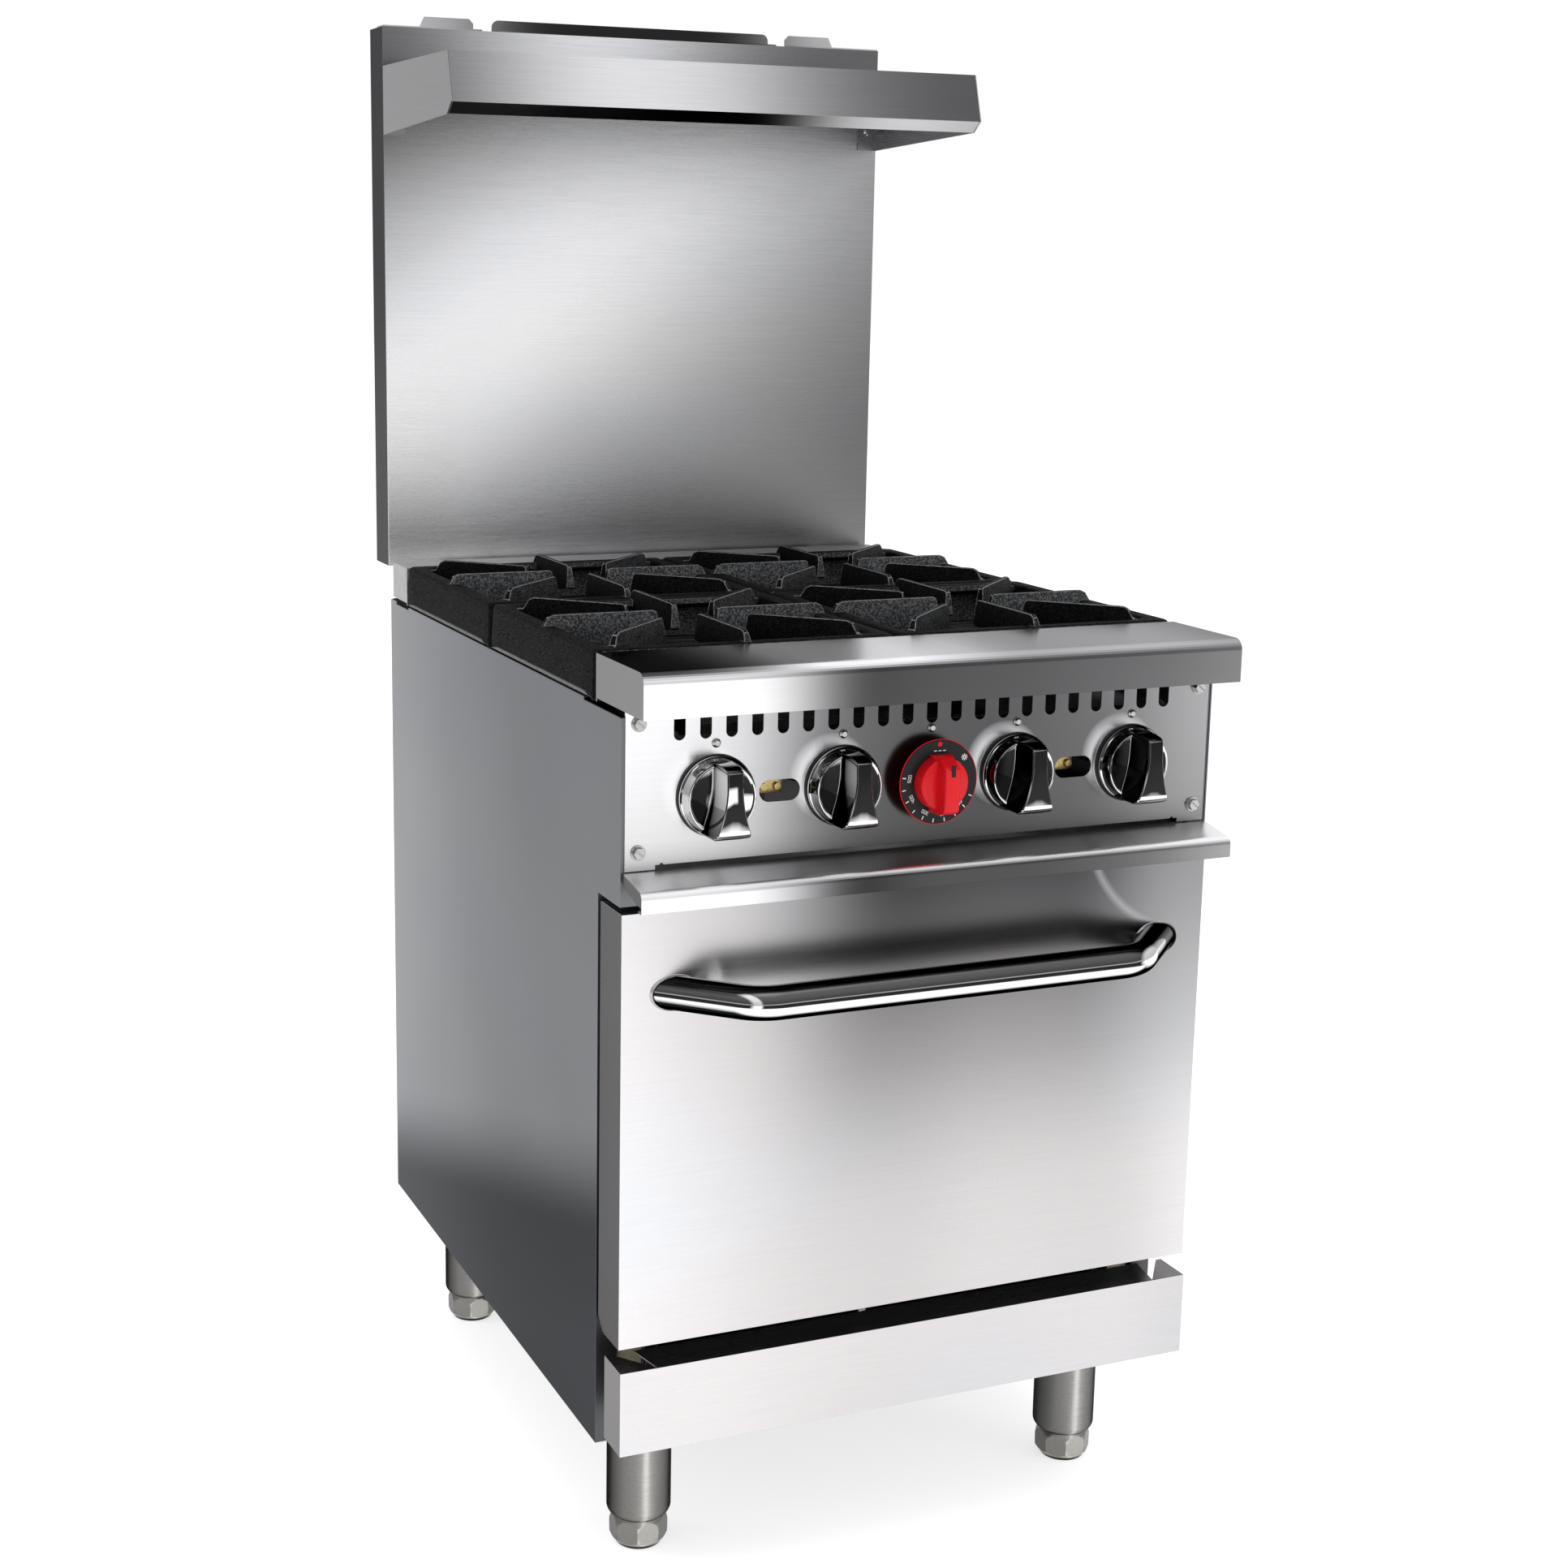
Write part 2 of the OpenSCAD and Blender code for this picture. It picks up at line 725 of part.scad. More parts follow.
module rack_guides() {
    plate = [252, 253.8];
    color("lightgray") placed() both_sides() {
        difference() {
            block([plate[0], 72, 312], [plate[1], 640, 600]);
            for (z = [guide_levels[0] + 8 : 60 : 540])
                block([plate[0] - 1, 110, z], [plate[1] + 1, 600, z + 40]);
        }
        for (z = guide_levels) block([plate[0] - 17, 72, z - 2], [plate[1], 640, z]);
    }
}

module oven_floor() {
    z = oven_floor_z - 3;
    color("#2e3640") placed() difference() {
        block([-oven_half + 0.5, recess + 4, z], [oven_half - 0.5, oven_back - liner_t - 0.5, z + 2]);
        for (s = [-1, 1], y = [140 : 80 : 580])
            block([s * 215 - 9, y - 25, z - 1], [s * 215 + 9, y + 25, z + 3]);
    }
}

module oven_burner() {
    z = 240;
    color("#4a4a4c") placed() difference() {
        union() {
            rod_y([0, 128, z], 16, 440);
            rod_x([-170, 340, z], 14, 340);
            rod_y([0, 126, z], 21, 22);
            for (y = [180, 540]) block([-oven_half + 0.5, y - 8, z - 22], [oven_half - 0.5, y + 8, z - 12]);
        }
        rod_y([0, 125, z], 12, 60);
    }
}

module oven_rack() {
    z = rack_z + 3;
    y = [84, 616];
    n = 19;
    wire_pitch = 24.5;
    color("lightgray") placed() {
        for (s = [-1, 1]) rod_y([s * (rack_half - 3), y[0], z], 3, y[1] - y[0]);
        for (v = [y[0], 260, 440, y[1]]) rod_x([-rack_half + 3, v, z], 3, 2 * rack_half - 6);
        for (s = [-1, 1], v = y)
            translate([s * (rack_half - 3), v, z]) cylinder(r = 3.4, h = 6, center = true);
        for (i = [0 : n - 1])
            rod_y([(i - (n - 1) / 2) * wire_pitch, y[0] - 1, z + 2], 2, y[1] - y[0] + 2);
    }
}

/* Riser and shelf */

module riser_front() {
    color("silver") placed() difference() {
        union() {
            block([-half, riser_y, riser_bottom], [half, riser_y + sheet, riser_top - sheet]);
            both_sides() block([skin_in, riser_y, riser_bottom], [half, riser_back_y, riser_top - sheet]);
        }
        shelf_screw_places() rod_y([0, riser_y - 1, 0], screw_hole_r, 5);
    }
}

module riser_back() {
    in_x = skin_in - fit;
    bottom = [flue_half - 2, 196];
    color("gainsboro") placed() {
        block([-in_x, riser_back_y - sheet, riser_bottom], [in_x, riser_back_y, riser_top - sheet]);
        difference() {
            block([-in_x, riser_y + sheet + fit, riser_bottom], [in_x, riser_back_y, riser_bottom + sheet]);
            block(
                [-bottom[0], riser_y + 4, riser_bottom - 1],
                [bottom[0], riser_back_y - 6, riser_bottom + 3]);
        }
        both_sides() {
            block([flue_half + 8, body_d, riser_bottom - 85], [flue_half + 36, body_d + 3, riser_bottom]);
            block(
                [flue_half + 8, body_d, riser_bottom - 3],
                [flue_half + 36, riser_back_y - 4, riser_bottom]);
            block(
                [flue_half + 8, riser_y + 4, riser_bottom - 3],
                [flue_half + 36, riser_back_y - 4, riser_bottom + 1]);
        }
    }
}

// Cap strips over the front of the flue's mouth, each with a lip turned up along its back edge
module riser_caps() {
    y1 = riser_y + 26;
    z = riser_top - sheet;
    mid = 171;
    end = [190, half - 1];
    tab = [193, 250];
    lip_r = 8;
    color("silver") placed() {
        block([-mid, riser_y + 0.5, z], [mid, y1, riser_top]);
        along_y(y1 - sheet, y1) {
            translate([-mid, z]) square([2 * mid, lip_h - lip_r]);
            translate([-mid + lip_r, z]) square([2 * (mid - lip_r), lip_h + sheet]);
            for (s = [-1, 1]) translate([s * (mid - lip_r), z + lip_h + sheet - lip_r]) circle(r = lip_r);
            translate([-mid, z]) square([2 * mid, lip_h + sheet - lip_r]);
        }
        both_sides() {
            block([end[0], riser_y + 0.5, z], [end[1], y1, riser_top]);
            along_y(y1 - sheet, y1) {
                polygon([
                    [tab[0], z], [tab[1] + 7, z], [tab[1], z + lip_h + sheet],
                    [tab[0] + 5, z + lip_h + sheet], [tab[0], z + lip_h + sheet - 5],
                ]);
            }
        }
    }
}

module flue_duct() {
    y0 = body_d;
    y1 = riser_back_y - 4;
    z0 = flue_throat_z[0] - 20;
    t = sheet;
    throat_y = oven_back + fit;
    color("gainsboro") placed() {
        difference() {
            block([-flue_half, y0, z0], [flue_half, y1, riser_bottom]);
            block([-flue_half + t, y0 + t, z0 + t], [flue_half - t, y1 - t, riser_bottom + 1]);
            block(
                [-flue_throat_half + 3, y0 - 1, flue_throat_z[0] + 3],
                [flue_throat_half - 3, y0 + 5, flue_throat_z[1] - 3]);
        }
        difference() {
            block(
                [-flue_throat_half, throat_y, flue_throat_z[0]],
                [flue_throat_half, y0 + 1, flue_throat_z[1]]);
            block([-flue_throat_half + t, throat_y - 1, flue_throat_z[0] + t],
                [flue_throat_half - t, y0 + 3, flue_throat_z[1] - t]);
        }
    }
}

shelf_z = riser_top - shelf_drop;
shelf_front = riser_y - shelf_d;
fascia = [[shelf_front, shelf_z], [shelf_front - 16, shelf_z - 51], [shelf_front - 1, shelf_z - 62.5]];
shelf_root = shelf_z - 74;
shelf_screw_x = half - 12.5;
shelf_screw_z = [shelf_root + 22, shelf_root + 56];

module shelf_screw_places() {
    for (s = [-1, 1], z = shelf_screw_z) translate([s * shelf_screw_x, 0, z]) children();
}

module shelf_top() {
    color("silver") placed() along_x(-skin_in + fit, skin_in - fit)
        bent(concat([[riser_y - sheet - fit, shelf_z]], fascia));
}

module shelf_end() {
    difference() {
        union() {
            along_x(skin_in, half) polygon(concat([[riser_y, shelf_root], [riser_y, shelf_z]], fascia));
            block([half - 25, riser_y - sheet, shelf_root], [half, riser_y, shelf_z]);
            block(
                [half - 14, shelf_front + 8, shelf_z - 2 * sheet - fit],
                [half, riser_y - 2, shelf_z - sheet - fit]);
        }
        shelf_screw_places() rod_y([0, riser_y - 3, 0], screw_hole_r, 5);
    }
}

module shelf_end_right() {
    color("silver") placed() shelf_end();
}

module shelf_end_left() {
    color("silver") placed() mirror([1, 0, 0]) shelf_end();
}

module shelf_screws() {
    color("lightgray") placed() shelf_screw_places() {
        translate([0, riser_y - sheet, 0]) rotate([90, 0, 0]) cylinder(r1 = 5, r2 = 3, h = 2.6);
        rod_y([0, riser_y - sheet - 1, 0], screw_r, 10);
    }
}

/* Crumb tray, kick plate */

module tray_rails() {
    z = tray_z - sheet - 0.2;
    color("gray") placed() both_sides() {
        block([tray_half - 18, 12, z], [tray_half + 4, 640, z + sheet]);
        block([tray_half + 2.5, 12, z], [tray_half + 4, 640, z + 16]);
        for (y = [150, 500]) block([tray_half + 3, y, z], [skin_in, y + 20, z + sheet]);
    }
}

function visor_path() = concat(
    [[3, visor_top], [0, visor_top]],
    arc([-visor_out + visor_bend, 700 - visor_bend], visor_bend, 90, 180),
    [[-visor_out, visor_bottom], [-visor_out + 8, visor_bottom]]
);

module crumb_tray() {
    t = 1.2;
    wall_top = 703;
    out = -0.4;
    tip = visor_path();
    color("silver") placed() {
        difference() {
            block([-tray_half, 2, tray_z], [tray_half, tray_back, wall_top]);
            block([-tray_half + t, 2 + t, tray_z + t], [tray_half - t, tray_back - t, wall_top + 1]);
        }
        intersection() {
            along_x(-tray_half, tray_half) bent(tip);
            block([-half, -60, 600], [half, 4, 800]);
        }
        block([-tray_half, 2, tray_z], [tray_half, 2 + t, visor_top]);
        intersection() {
            along_x(-rail_half, rail_half) bent(tip);
            block([-half, -60, 600], [half, out, 800]);
        }
        both_sides() along_x(rail_half - sheet, rail_half) difference() {
            polygon(concat(
                [[out, visor_top]],
                arc([-visor_out + visor_bend, 700 - visor_bend], visor_bend, 90, 180),
                [[-visor_out, 686], [-visor_out + 14, 687], [-visor_out + 30, 692], [out, 698]]
            ));
            square(1);
        }
    }
}

module kick_plate() {
    top_y = kick_back;
    apex = 268;
    color("silver") placed() difference() {
        union() {
            block([-door_half, kick_face, kick_z[0]], [door_half, kick_face + sheet, kick_z[1]]);
            block([-door_half, kick_face, kick_z[1] - sheet], [door_half, top_y, kick_z[1]]);
            block([-door_half, kick_face, kick_z[0]], [door_half, kick_face + 18, kick_z[0] + sheet]);
            both_sides() block([door_half - sheet, kick_face, kick_z[0]], [door_half, top_y, kick_z[1]]);
        }
        both_sides() translate([0, 0, kick_z[1] - 5]) linear_extrude(10)
            polygon([[apex, kick_face + sheet], [apex + 31, top_y + 1], [apex + 8, top_y + 1]]);
    }
}

/* Door */

function door_side() = [
    [door_face, door_bottom], [door_face, door_top], [door_back - 2, door_top],
    [door_back - 2, door_bottom + door_chamfer], [door_back - door_chamfer - 2, door_bottom],
];

// Room in the door for the hinge bracket, from closed to fully open
module hinge_room() {
    w = hinge_slot / 2;
    both_sides() block([hinge_x - w, hinge_y - 12, door_bottom - 5], [hinge_x + w, 62, hinge_z + 12]);
}

module door_skin() {
    color("silver") placed() difference() {
        union() {
            block([-door_half, door_face, door_bottom], [door_half, door_face + sheet, door_top]);
            both_sides() along_x(door_half - sheet, door_half) polygon(door_side());
            block([-door_half, door_face, door_top - sheet], [door_half, door_back - 2, door_top]);
            block(
                [-door_half, door_face, door_bottom],
                [door_half, door_back - door_chamfer - 2, door_bottom + sheet]);
        }
        hinge_room();
    }
}

module door_liner() {
    y1 = door_back;
    low = door_bottom + door_chamfer;
    path = [[y1 - 1.9, door_top - 0.5], [y1 - 1.9, low], [y1 - 1.9 - door_chamfer, door_bottom]];
    color("gray") placed() difference() {
        along_x(-door_half, door_half) bent(path);
        hinge_room();
        block([-door_half - 1, 30, door_bottom - 2], [door_half + 1, y1 + 2, door_bottom + 0.1]);
    }
}

module door_insulation() {
    color("khaki") placed() block([-250, 0, door_bottom + 18], [250, 48, door_top - 12]);
}

module door_gasket() {
    color("#2b2b2d") placed() difference() {
        block([-gasket_half, door_back, gasket_z[0]], [gasket_half, recess - 0.3, gasket_z[1]]);
        block([-gasket_half + gasket_w, door_back - 1, gasket_z[0] + gasket_w],
            [gasket_half - gasket_w, recess + 1, gasket_z[1] - gasket_w]);
    }
}

// Handle bar: a straight grip turned back at each end in two steps, its arms cut off at the door's face
module door_handle() {
    y = door_face - handle_out;
    grip = [handle_half - 18, y];
    elbow = [handle_half + 6, y + 8];
    root = [handle_half + 92, y + 94];
    color("lightsteelblue") placed() translate([0, 0, handle_z]) difference() {
        union() {
            hull() both_sides() handle_ball(grip);
            both_sides() {
                hull() {
                    handle_ball(grip);
                    handle_ball(elbow);
                }
                hull() {
                    handle_ball(elbow);
                    handle_ball(root);
                }
            }
        }
        block([-half, door_face, -50], [half, 150, 50]);
    }
}

module handle_ball(p) {
    translate(p) sphere(r = handle_r, $fn = 32);
}

// Cheeks and pin inside the door
module hinge_arms() {
    t = 3.5;
    w = hinge_slot / 2;
    color("darkgray") placed() both_sides() {
        difference() {
            union() {
                for (x = [hinge_x - w - t, hinge_x + w])
                    block([x, door_face + sheet, hinge_z - 9], [x + t, 40, hinge_z + 38]);
                block(
                    [hinge_x - w - t, door_face + sheet, hinge_z + 16],
                    [hinge_x + w + t, 2, hinge_z + 38]);
            }
            block([hinge_x - 30, 34, hinge_z - 12], [hinge_x + 30, 45, hinge_z - 2]);
        }
        rod_x([hinge_x - w - t, hinge_y, hinge_z], hinge_pin_r, 2 * (w + t));
    }
}

module hinge_brackets() {
    t = hinge_t / 2;
    plate_y = recess + sheet + fit;
    color("darkgray") placed() both_sides() difference() {
        union() {
            along_x(hinge_x - t, hinge_x + t) {
                translate([hinge_y, hinge_z]) circle(r = 9);
                translate([hinge_y, hinge_z - 9]) square([plate_y - hinge_y + 3, 18]);
            }
            block([oven_half + 5, plate_y, hinge_z - 30], [oven_half + 28, plate_y + 3, hinge_z + 45]);
            block([oven_half + 5, plate_y, hinge_z - 30], [half - 5, plate_y + 3, hinge_z - 10]);
        }
        rod_x([hinge_x - 10, hinge_y, hinge_z], hinge_pin_r + 0.06, 20);
    }
}

// Counterbalance springs, hooked between the hinge brackets and the base frame
module hinge_springs() {
    x = half - 13;
    y = 78;
    z0 = 158;
    coils = 24;
    pitch = 3;
    groove = [for (i = [0 : coils - 1]) each [[6, z0 + i * pitch], [7.2, z0 + (i + 0.5) * pitch]]];
    top = z0 + coils * pitch;
    color("lightgray") placed() both_sides() {
        translate([x, y, 0]) rotate_extrude() polygon(concat([[0, z0]], groove, [[6, top], [0, top]]));
        run([[x, y, top - 1], [x, y, hinge_z - 20], [x, recess + sheet + fit + 3, hinge_z - 20]], 1.6, 2.2);
        run([[x, y, z0 + 1], [x, y, z0 - 6], [half - 25.5, y, z0 - 6]], 1.6, 2.2);
    }
}

side_left();
side_right();
back_panel();
base_frame();
leg_tubes();
foot_front_left();
foot_front_right();
foot_rear_left();
foot_rear_right();
front_rail();
rear_ledge();
grate_support();
control_panel();
panel_screws();
trim_screws();
knob_bezels();
oven_face_frame();
oven_liner();
oven_insulation();
rack_guides();
oven_floor();
oven_burner();
gas_manifold();
burner_valves();
pilot_valves();
gas_tubes();
burner_bodies();
burner_caps();
thermostat_body();
thermostat_bulb();
riser_front();
riser_back();
riser_caps();
flue_duct();
shelf_top();
shelf_end_left();
shelf_end_right();
shelf_screws();
tray_rails();
hinge_brackets();
hinge_springs();
door_skin();
door_liner();
door_insulation();
door_gasket();
door_handle();
hinge_arms();
crumb_tray();
kick_plate();
oven_rack();
knob_1();
knob_2();
knob_3();
knob_4();
thermostat_knob();
thermostat_dial();
grate_front_left();
grate_front_right();
grate_rear_left();
grate_rear_right();
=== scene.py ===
"""The look of a commercial gas range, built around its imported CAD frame."""

import json
import math

import bmesh
import bpy
from mathutils import Matrix, Vector


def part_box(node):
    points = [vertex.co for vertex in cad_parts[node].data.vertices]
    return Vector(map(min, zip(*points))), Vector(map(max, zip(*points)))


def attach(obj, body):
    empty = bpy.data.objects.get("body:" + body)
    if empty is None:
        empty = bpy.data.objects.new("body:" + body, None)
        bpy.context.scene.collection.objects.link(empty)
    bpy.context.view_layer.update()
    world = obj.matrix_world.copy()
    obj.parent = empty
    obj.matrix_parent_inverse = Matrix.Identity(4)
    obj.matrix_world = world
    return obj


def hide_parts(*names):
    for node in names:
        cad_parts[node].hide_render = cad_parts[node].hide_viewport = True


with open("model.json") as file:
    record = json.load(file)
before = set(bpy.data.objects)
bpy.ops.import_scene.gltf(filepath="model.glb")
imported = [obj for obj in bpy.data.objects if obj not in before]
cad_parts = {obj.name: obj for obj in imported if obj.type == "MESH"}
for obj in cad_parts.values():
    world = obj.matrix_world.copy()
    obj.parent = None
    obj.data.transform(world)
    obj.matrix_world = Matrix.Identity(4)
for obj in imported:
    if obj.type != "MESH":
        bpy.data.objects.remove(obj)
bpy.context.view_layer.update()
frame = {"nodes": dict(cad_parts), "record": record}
NODES = frame["nodes"]
SLOTS = {s["node"]: s["material_slot"] for s in frame["record"]["subparts"]}
PANEL_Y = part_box("control_panel")[0].y
HALF_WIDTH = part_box("side_right")[1].x
BURNER_KNOBS = ("knob_1", "knob_2", "knob_3", "knob_4")
MM = 0.001

LEFT = (-1, 0, 0)
RIGHT = (1, 0, 0)
FRONT = (0, -1, 0)
REAR = (0, 1, 0)
UP = (0, 0, 1)
DOWN = (0, 0, -1)


# ---------------------------------------------------------------- materials


class Tree:
    """A node material being put together. Values are numbers, colours or sockets of other nodes."""

    def __init__(self, name, metallic=0.0):
        self.material = bpy.data.materials.new(name)
        self.material.use_nodes = True
        self.nodes = self.material.node_tree.nodes
        self.links = self.material.node_tree.links
        self.shader = self.nodes["Principled BSDF"]
        self.set("Metallic", metallic)

    def node(self, kind, **inputs):
        """A new node with its named inputs filled; an underscore stands for a space."""
        made = self.nodes.new("ShaderNode" + kind)
        for key, value in inputs.items():
            self.put(made, key.replace("_", " "), value)
        return made

    def put(self, target, key, value):
        """Fills one input, named or numbered."""
        socket = target.inputs[key]
        if isinstance(value, bpy.types.NodeSocket):
            self.links.new(value, socket)
        else:
            socket.default_value = value

    def set(self, key, value):
        self.put(self.shader, key, value)

    def place(self, scale):
        """The object's own coordinates in metres, stretched by scale."""
        coord = self.node("TexCoord").outputs["Object"]
        return self.node("Mapping", Vector=coord, Scale=scale).outputs["Vector"]

    def noise(self, scale, detail=3.0, rough=0.55):
        made = self.node("TexNoise", Vector=self.place(scale), Scale=1.0, Detail=detail, Roughness=rough)
        return made.outputs["Fac"]

    def range(self, value, low, high, to_low, to_high):
        """Carries low..high over to to_low..to_high, and stays level outside."""
        made = self.node("MapRange", Value=value, From_Min=low, From_Max=high, To_Min=to_low, To_Max=to_high)
        return made.outputs["Result"]

    def band(self, value, start, full, fade, end):
        """1 from full to fade and 0 outside start to end, with even slopes between."""
        rise = self.range(value, start, full, 0.0, 1.0)
        return self.product(rise, self.range(value, fade, end, 1.0, 0.0))

    def mix(self, factor, a, b):
        made = self.nodes.new("ShaderNodeMix")
        made.data_type = "RGBA"
        for key, value in ((0, factor), (6, a), (7, b)):
            self.put(made, key, value)
        return made.outputs[2]

    def math(self, operation, a, b=0.0):
        made = self.nodes.new("ShaderNodeMath")
        made.operation = operation
        self.put(made, 0, a)
        self.put(made, 1, b)
        return made.outputs[0]

    def product(self, a, b):
        return self.math("MULTIPLY", a, b)

    def largest(self, first, *others):
        for other in others:
            first = self.math("MAXIMUM", first, other)
        return first

    def vector(self, operation, a, b=None):
        """A vector calculation; its number result is the output called Value."""
        made = self.nodes.new("ShaderNodeVectorMath")
        made.operation = operation
        self.put(made, 0, a)
        if b is not None:
            self.put(made, 1, b)
        return made

    def scaled_color(self, color, factor):
        return self.vector("MULTIPLY", color, factor).outputs[0]

    def ramp(self, value, *stops, kind="B_SPLINE"):
        """A curve through (position, level) stops; positions run from 0 to 1 and levels from 0 to 2."""
        made = self.node("ValToRGB", Fac=value)
        made.color_ramp.interpolation = kind
        elements = made.color_ramp.elements
        for k, (at, level) in enumerate(stops):
            stop = elements[k] if k < 2 else elements.new(at)
            stop.position = at
            stop.color = (level / 2, level / 2, level / 2, 1)
        return self.scaled_color(made.outputs["Color"], (2.0, 2.0, 2.0))

    def along(self, direction, low, high):
        """0 to 1 as the object's own coordinates go from low to high along a direction, in metres."""
        dot = self.vector("DOT_PRODUCT", self.node("TexCoord").outputs["Object"], direction)
        return self.range(dot.outputs["Value"], low, high, 0.0, 1.0)

    def toward(self, direction):
        """The cosine between the surface's own direction and the given one."""
        normal = self.node("NewGeometry").outputs["True Normal"]
        return self.vector("DOT_PRODUCT", normal, direction).outputs["Value"]

    def facing(self, direction):
        """1 where the surface looks that way, 0 where it looks elsewhere."""
        return self.range(self.toward(direction), 0.35, 0.75, 0.0, 1.0)

    def distance(self, centre):
        """How far, in metres, a point is from the line along Y through centre's x and z."""
        flat = self.scaled_color(self.node("TexCoord").outputs["Object"], (1.0, 0.0, 1.0))
        return self.vector("DISTANCE", flat, (centre[0], 0.0, centre[1])).outputs["Value"]

    def reflection(self):
        """The mirrored direction's parts, as outputs X, Y and Z."""
        mirrored = self.node("TexCoord").outputs["Reflection"]
        return self.node("SeparateXYZ", Vector=mirrored).outputs

    def edges(self, radius, low, high):
        """1 along edges, 0 on open faces; a mask for edge wear and for painted edge highlights and shade."""
        rounded = self.node("Bevel", Radius=radius)
        rounded.samples = 4
        dot = self.vector("DOT_PRODUCT", rounded.outputs[0], self.node("NewGeometry").outputs["Normal"])
        return self.range(dot.outputs["Value"], high, low, 0.0, 1.0)

    def bump(self, height, strength, distance):
        made = self.node("Bump", Height=height, Strength=strength, Distance=distance)
        self.set("Normal", made.outputs["Normal"])

    def tangent_across(self, grain):
        """Turns the highlight across the grain, whichever way the sheet faces."""
        normal = self.node("NewGeometry").outputs["True Normal"]
        cross = self.vector("CROSS_PRODUCT", normal, grain)
        self.set("Tangent", self.vector("NORMALIZE", cross.outputs[0]).outputs[0])


# Pairs of faint colours that a sheet drifts between.
COOL = ((0.985, 0.99, 1.01, 1.0), (1.0, 0.998, 0.995, 1.0))
BLUISH = ((0.96, 0.99, 1.05, 1.0), (0.98, 1.0, 1.03, 1.0))
WARM = ((1.03, 1.0, 0.94, 1.0), (1.0, 0.99, 0.96, 1.0))
ROSY = ((1.02, 0.985, 0.985, 1.0), (0.985, 0.99, 1.015, 1.0))

# How strongly noise is stretched along and across a brushed grain, per metre.
GRAIN_ALONG = 26.0
GRAIN_ACROSS = 1500.0


def grey(value, warm=0.0):
    return (value * (1 + warm), value, value * (1 - warm), 1.0)


def darker(color, factor):
    return tuple(c * factor for c in color[:3]) + (1.0,)


def brushed(name, tone, rough, grain="X", aniso=0.5, contrast=0.045, shade=None, tints=COOL, rim=0.42):
    """Sheet steel with a fine directional grain and faint smudges; rim paints shade along its edges below 1
    and a highlight above 1.

    shade(tree) gives its painted sheen, broad soft reflections and shade painted into its colour, which it
    keeps at glancing angles too, and tints are the two faint colours it drifts between.
    """
    t = Tree(name, metallic=1.0)
    scale = (GRAIN_ALONG, GRAIN_ACROSS, GRAIN_ACROSS)
    if grain == "Y":
        scale = (GRAIN_ACROSS, GRAIN_ALONG, GRAIN_ACROSS)
    fine = t.noise(scale, detail=3.0, rough=0.6)
    broad = t.noise(tuple(v * 0.35 for v in scale), detail=1.0)
    grainy = t.math("ADD", t.product(fine, 0.65), t.product(broad, 0.35))
    lightness = t.range(grainy, 0.35, 0.65, 0.0, 1.0)
    steel = t.mix(lightness, grey(tone * (1 - contrast)), grey(tone * (1 + contrast)))
    # Painted sheen: the shade's reflections and shade multiply the colour and set the edge tint.
    if shade:
        sheen = shade(t)
        steel = t.scaled_color(steel, sheen)
        t.set("Specular Tint", sheen)
    hue = t.mix(t.range(t.noise((2.2, 2.2, 5.0), detail=1.0), 0.42, 0.60, 0.0, 1.0), *tints)
    steel = t.scaled_color(steel, hue)
    # Painted edge shade where rim is below 1, painted edge highlight where it is above 1.
    steel = t.scaled_color(steel, t.mix(t.edges(0.0007, 0.70, 0.95), grey(1.0), grey(rim)))
    t.set("Base Color", steel)
    smudge = t.noise((4.0, 4.0, 4.0), detail=1.0)
    base = t.range(smudge, 0.35, 0.65, rough * 0.94, rough * 1.06)
    t.set("Roughness", t.math("ADD", base, t.range(grainy, 0.35, 0.65, -0.02, 0.02)))
    t.set("Anisotropic", aniso)
    t.tangent_across((1, 0.03, 0.05) if grain == "X" else (0.03, 1, 0.05))
    t.bump(fine, 0.04, 0.0001)
    return t.material


def polished(name, tone, rough, shade):
    """Mirror-bright plating with faint finger smears; shade(tree) is what it mirrors, painted into its
    colour and edge tint as a reflection.
    """
    t = Tree(name, metallic=1.0)
    smear = t.noise((30.0, 30.0, 30.0), detail=3.0)
    sheen = shade(t)
    t.set("Base Color", t.scaled_color(t.mix(smear, grey(tone * 0.96), grey(tone)), sheen))
    t.set("Specular Tint", sheen)
    t.set("Roughness", t.range(smear, 0.35, 0.7, rough * 0.6, rough * 1.6))
    t.bump(t.noise((900.0, 900.0, 900.0)), 0.01, 0.0001)
    return t.material


def cast(name, tone, rough, grain, wear_and_glint):
    """Cast iron: a sandy skin, painted paler where it faces the front lamps, with edges paler from wear and
    a painted highlight.
    """
    t = Tree(name)
    sand = t.noise((1300.0, 1300.0, 1300.0), detail=1.0, rough=0.6)
    blotch = t.noise((55.0, 55.0, 55.0), detail=2.0)
    speck = t.node("TexVoronoi", Vector=t.place((1.0, 1.0, 1.0)), Scale=760.0).outputs["Color"]
    grains = t.range(speck, 0.40, 0.80, 0.45, 2.2)
    lit = t.math("ADD", 1.0, t.range(t.toward((0.25, -0.95, 0.1)), 0.80, 0.97, 0.0, 17.0))
    edge = t.product(t.edges(0.0013, 0.72, 0.97), t.range(sand, 0.35, 0.62, 0.45, 1.0))
    skin = t.mix(blotch, grey(tone * 0.8, -0.03), grey(tone * 1.3, -0.03))
    skin = t.scaled_color(skin, t.product(lit, grains))
    # Edge wear and painted highlight: the edges take the paler colour.
    t.set("Base Color", t.mix(edge, skin, grey(wear_and_glint)))
    t.set("Roughness", t.range(sand, 0.3, 0.7, rough * 0.85, rough * 1.2))
    t.set("Specular IOR Level", t.range(sand, 0.46, 0.66, 0.0, 0.22))
    t.set("Specular Tint", grey(0.5))
    t.bump(sand, grain, 0.0006)
    return t.material


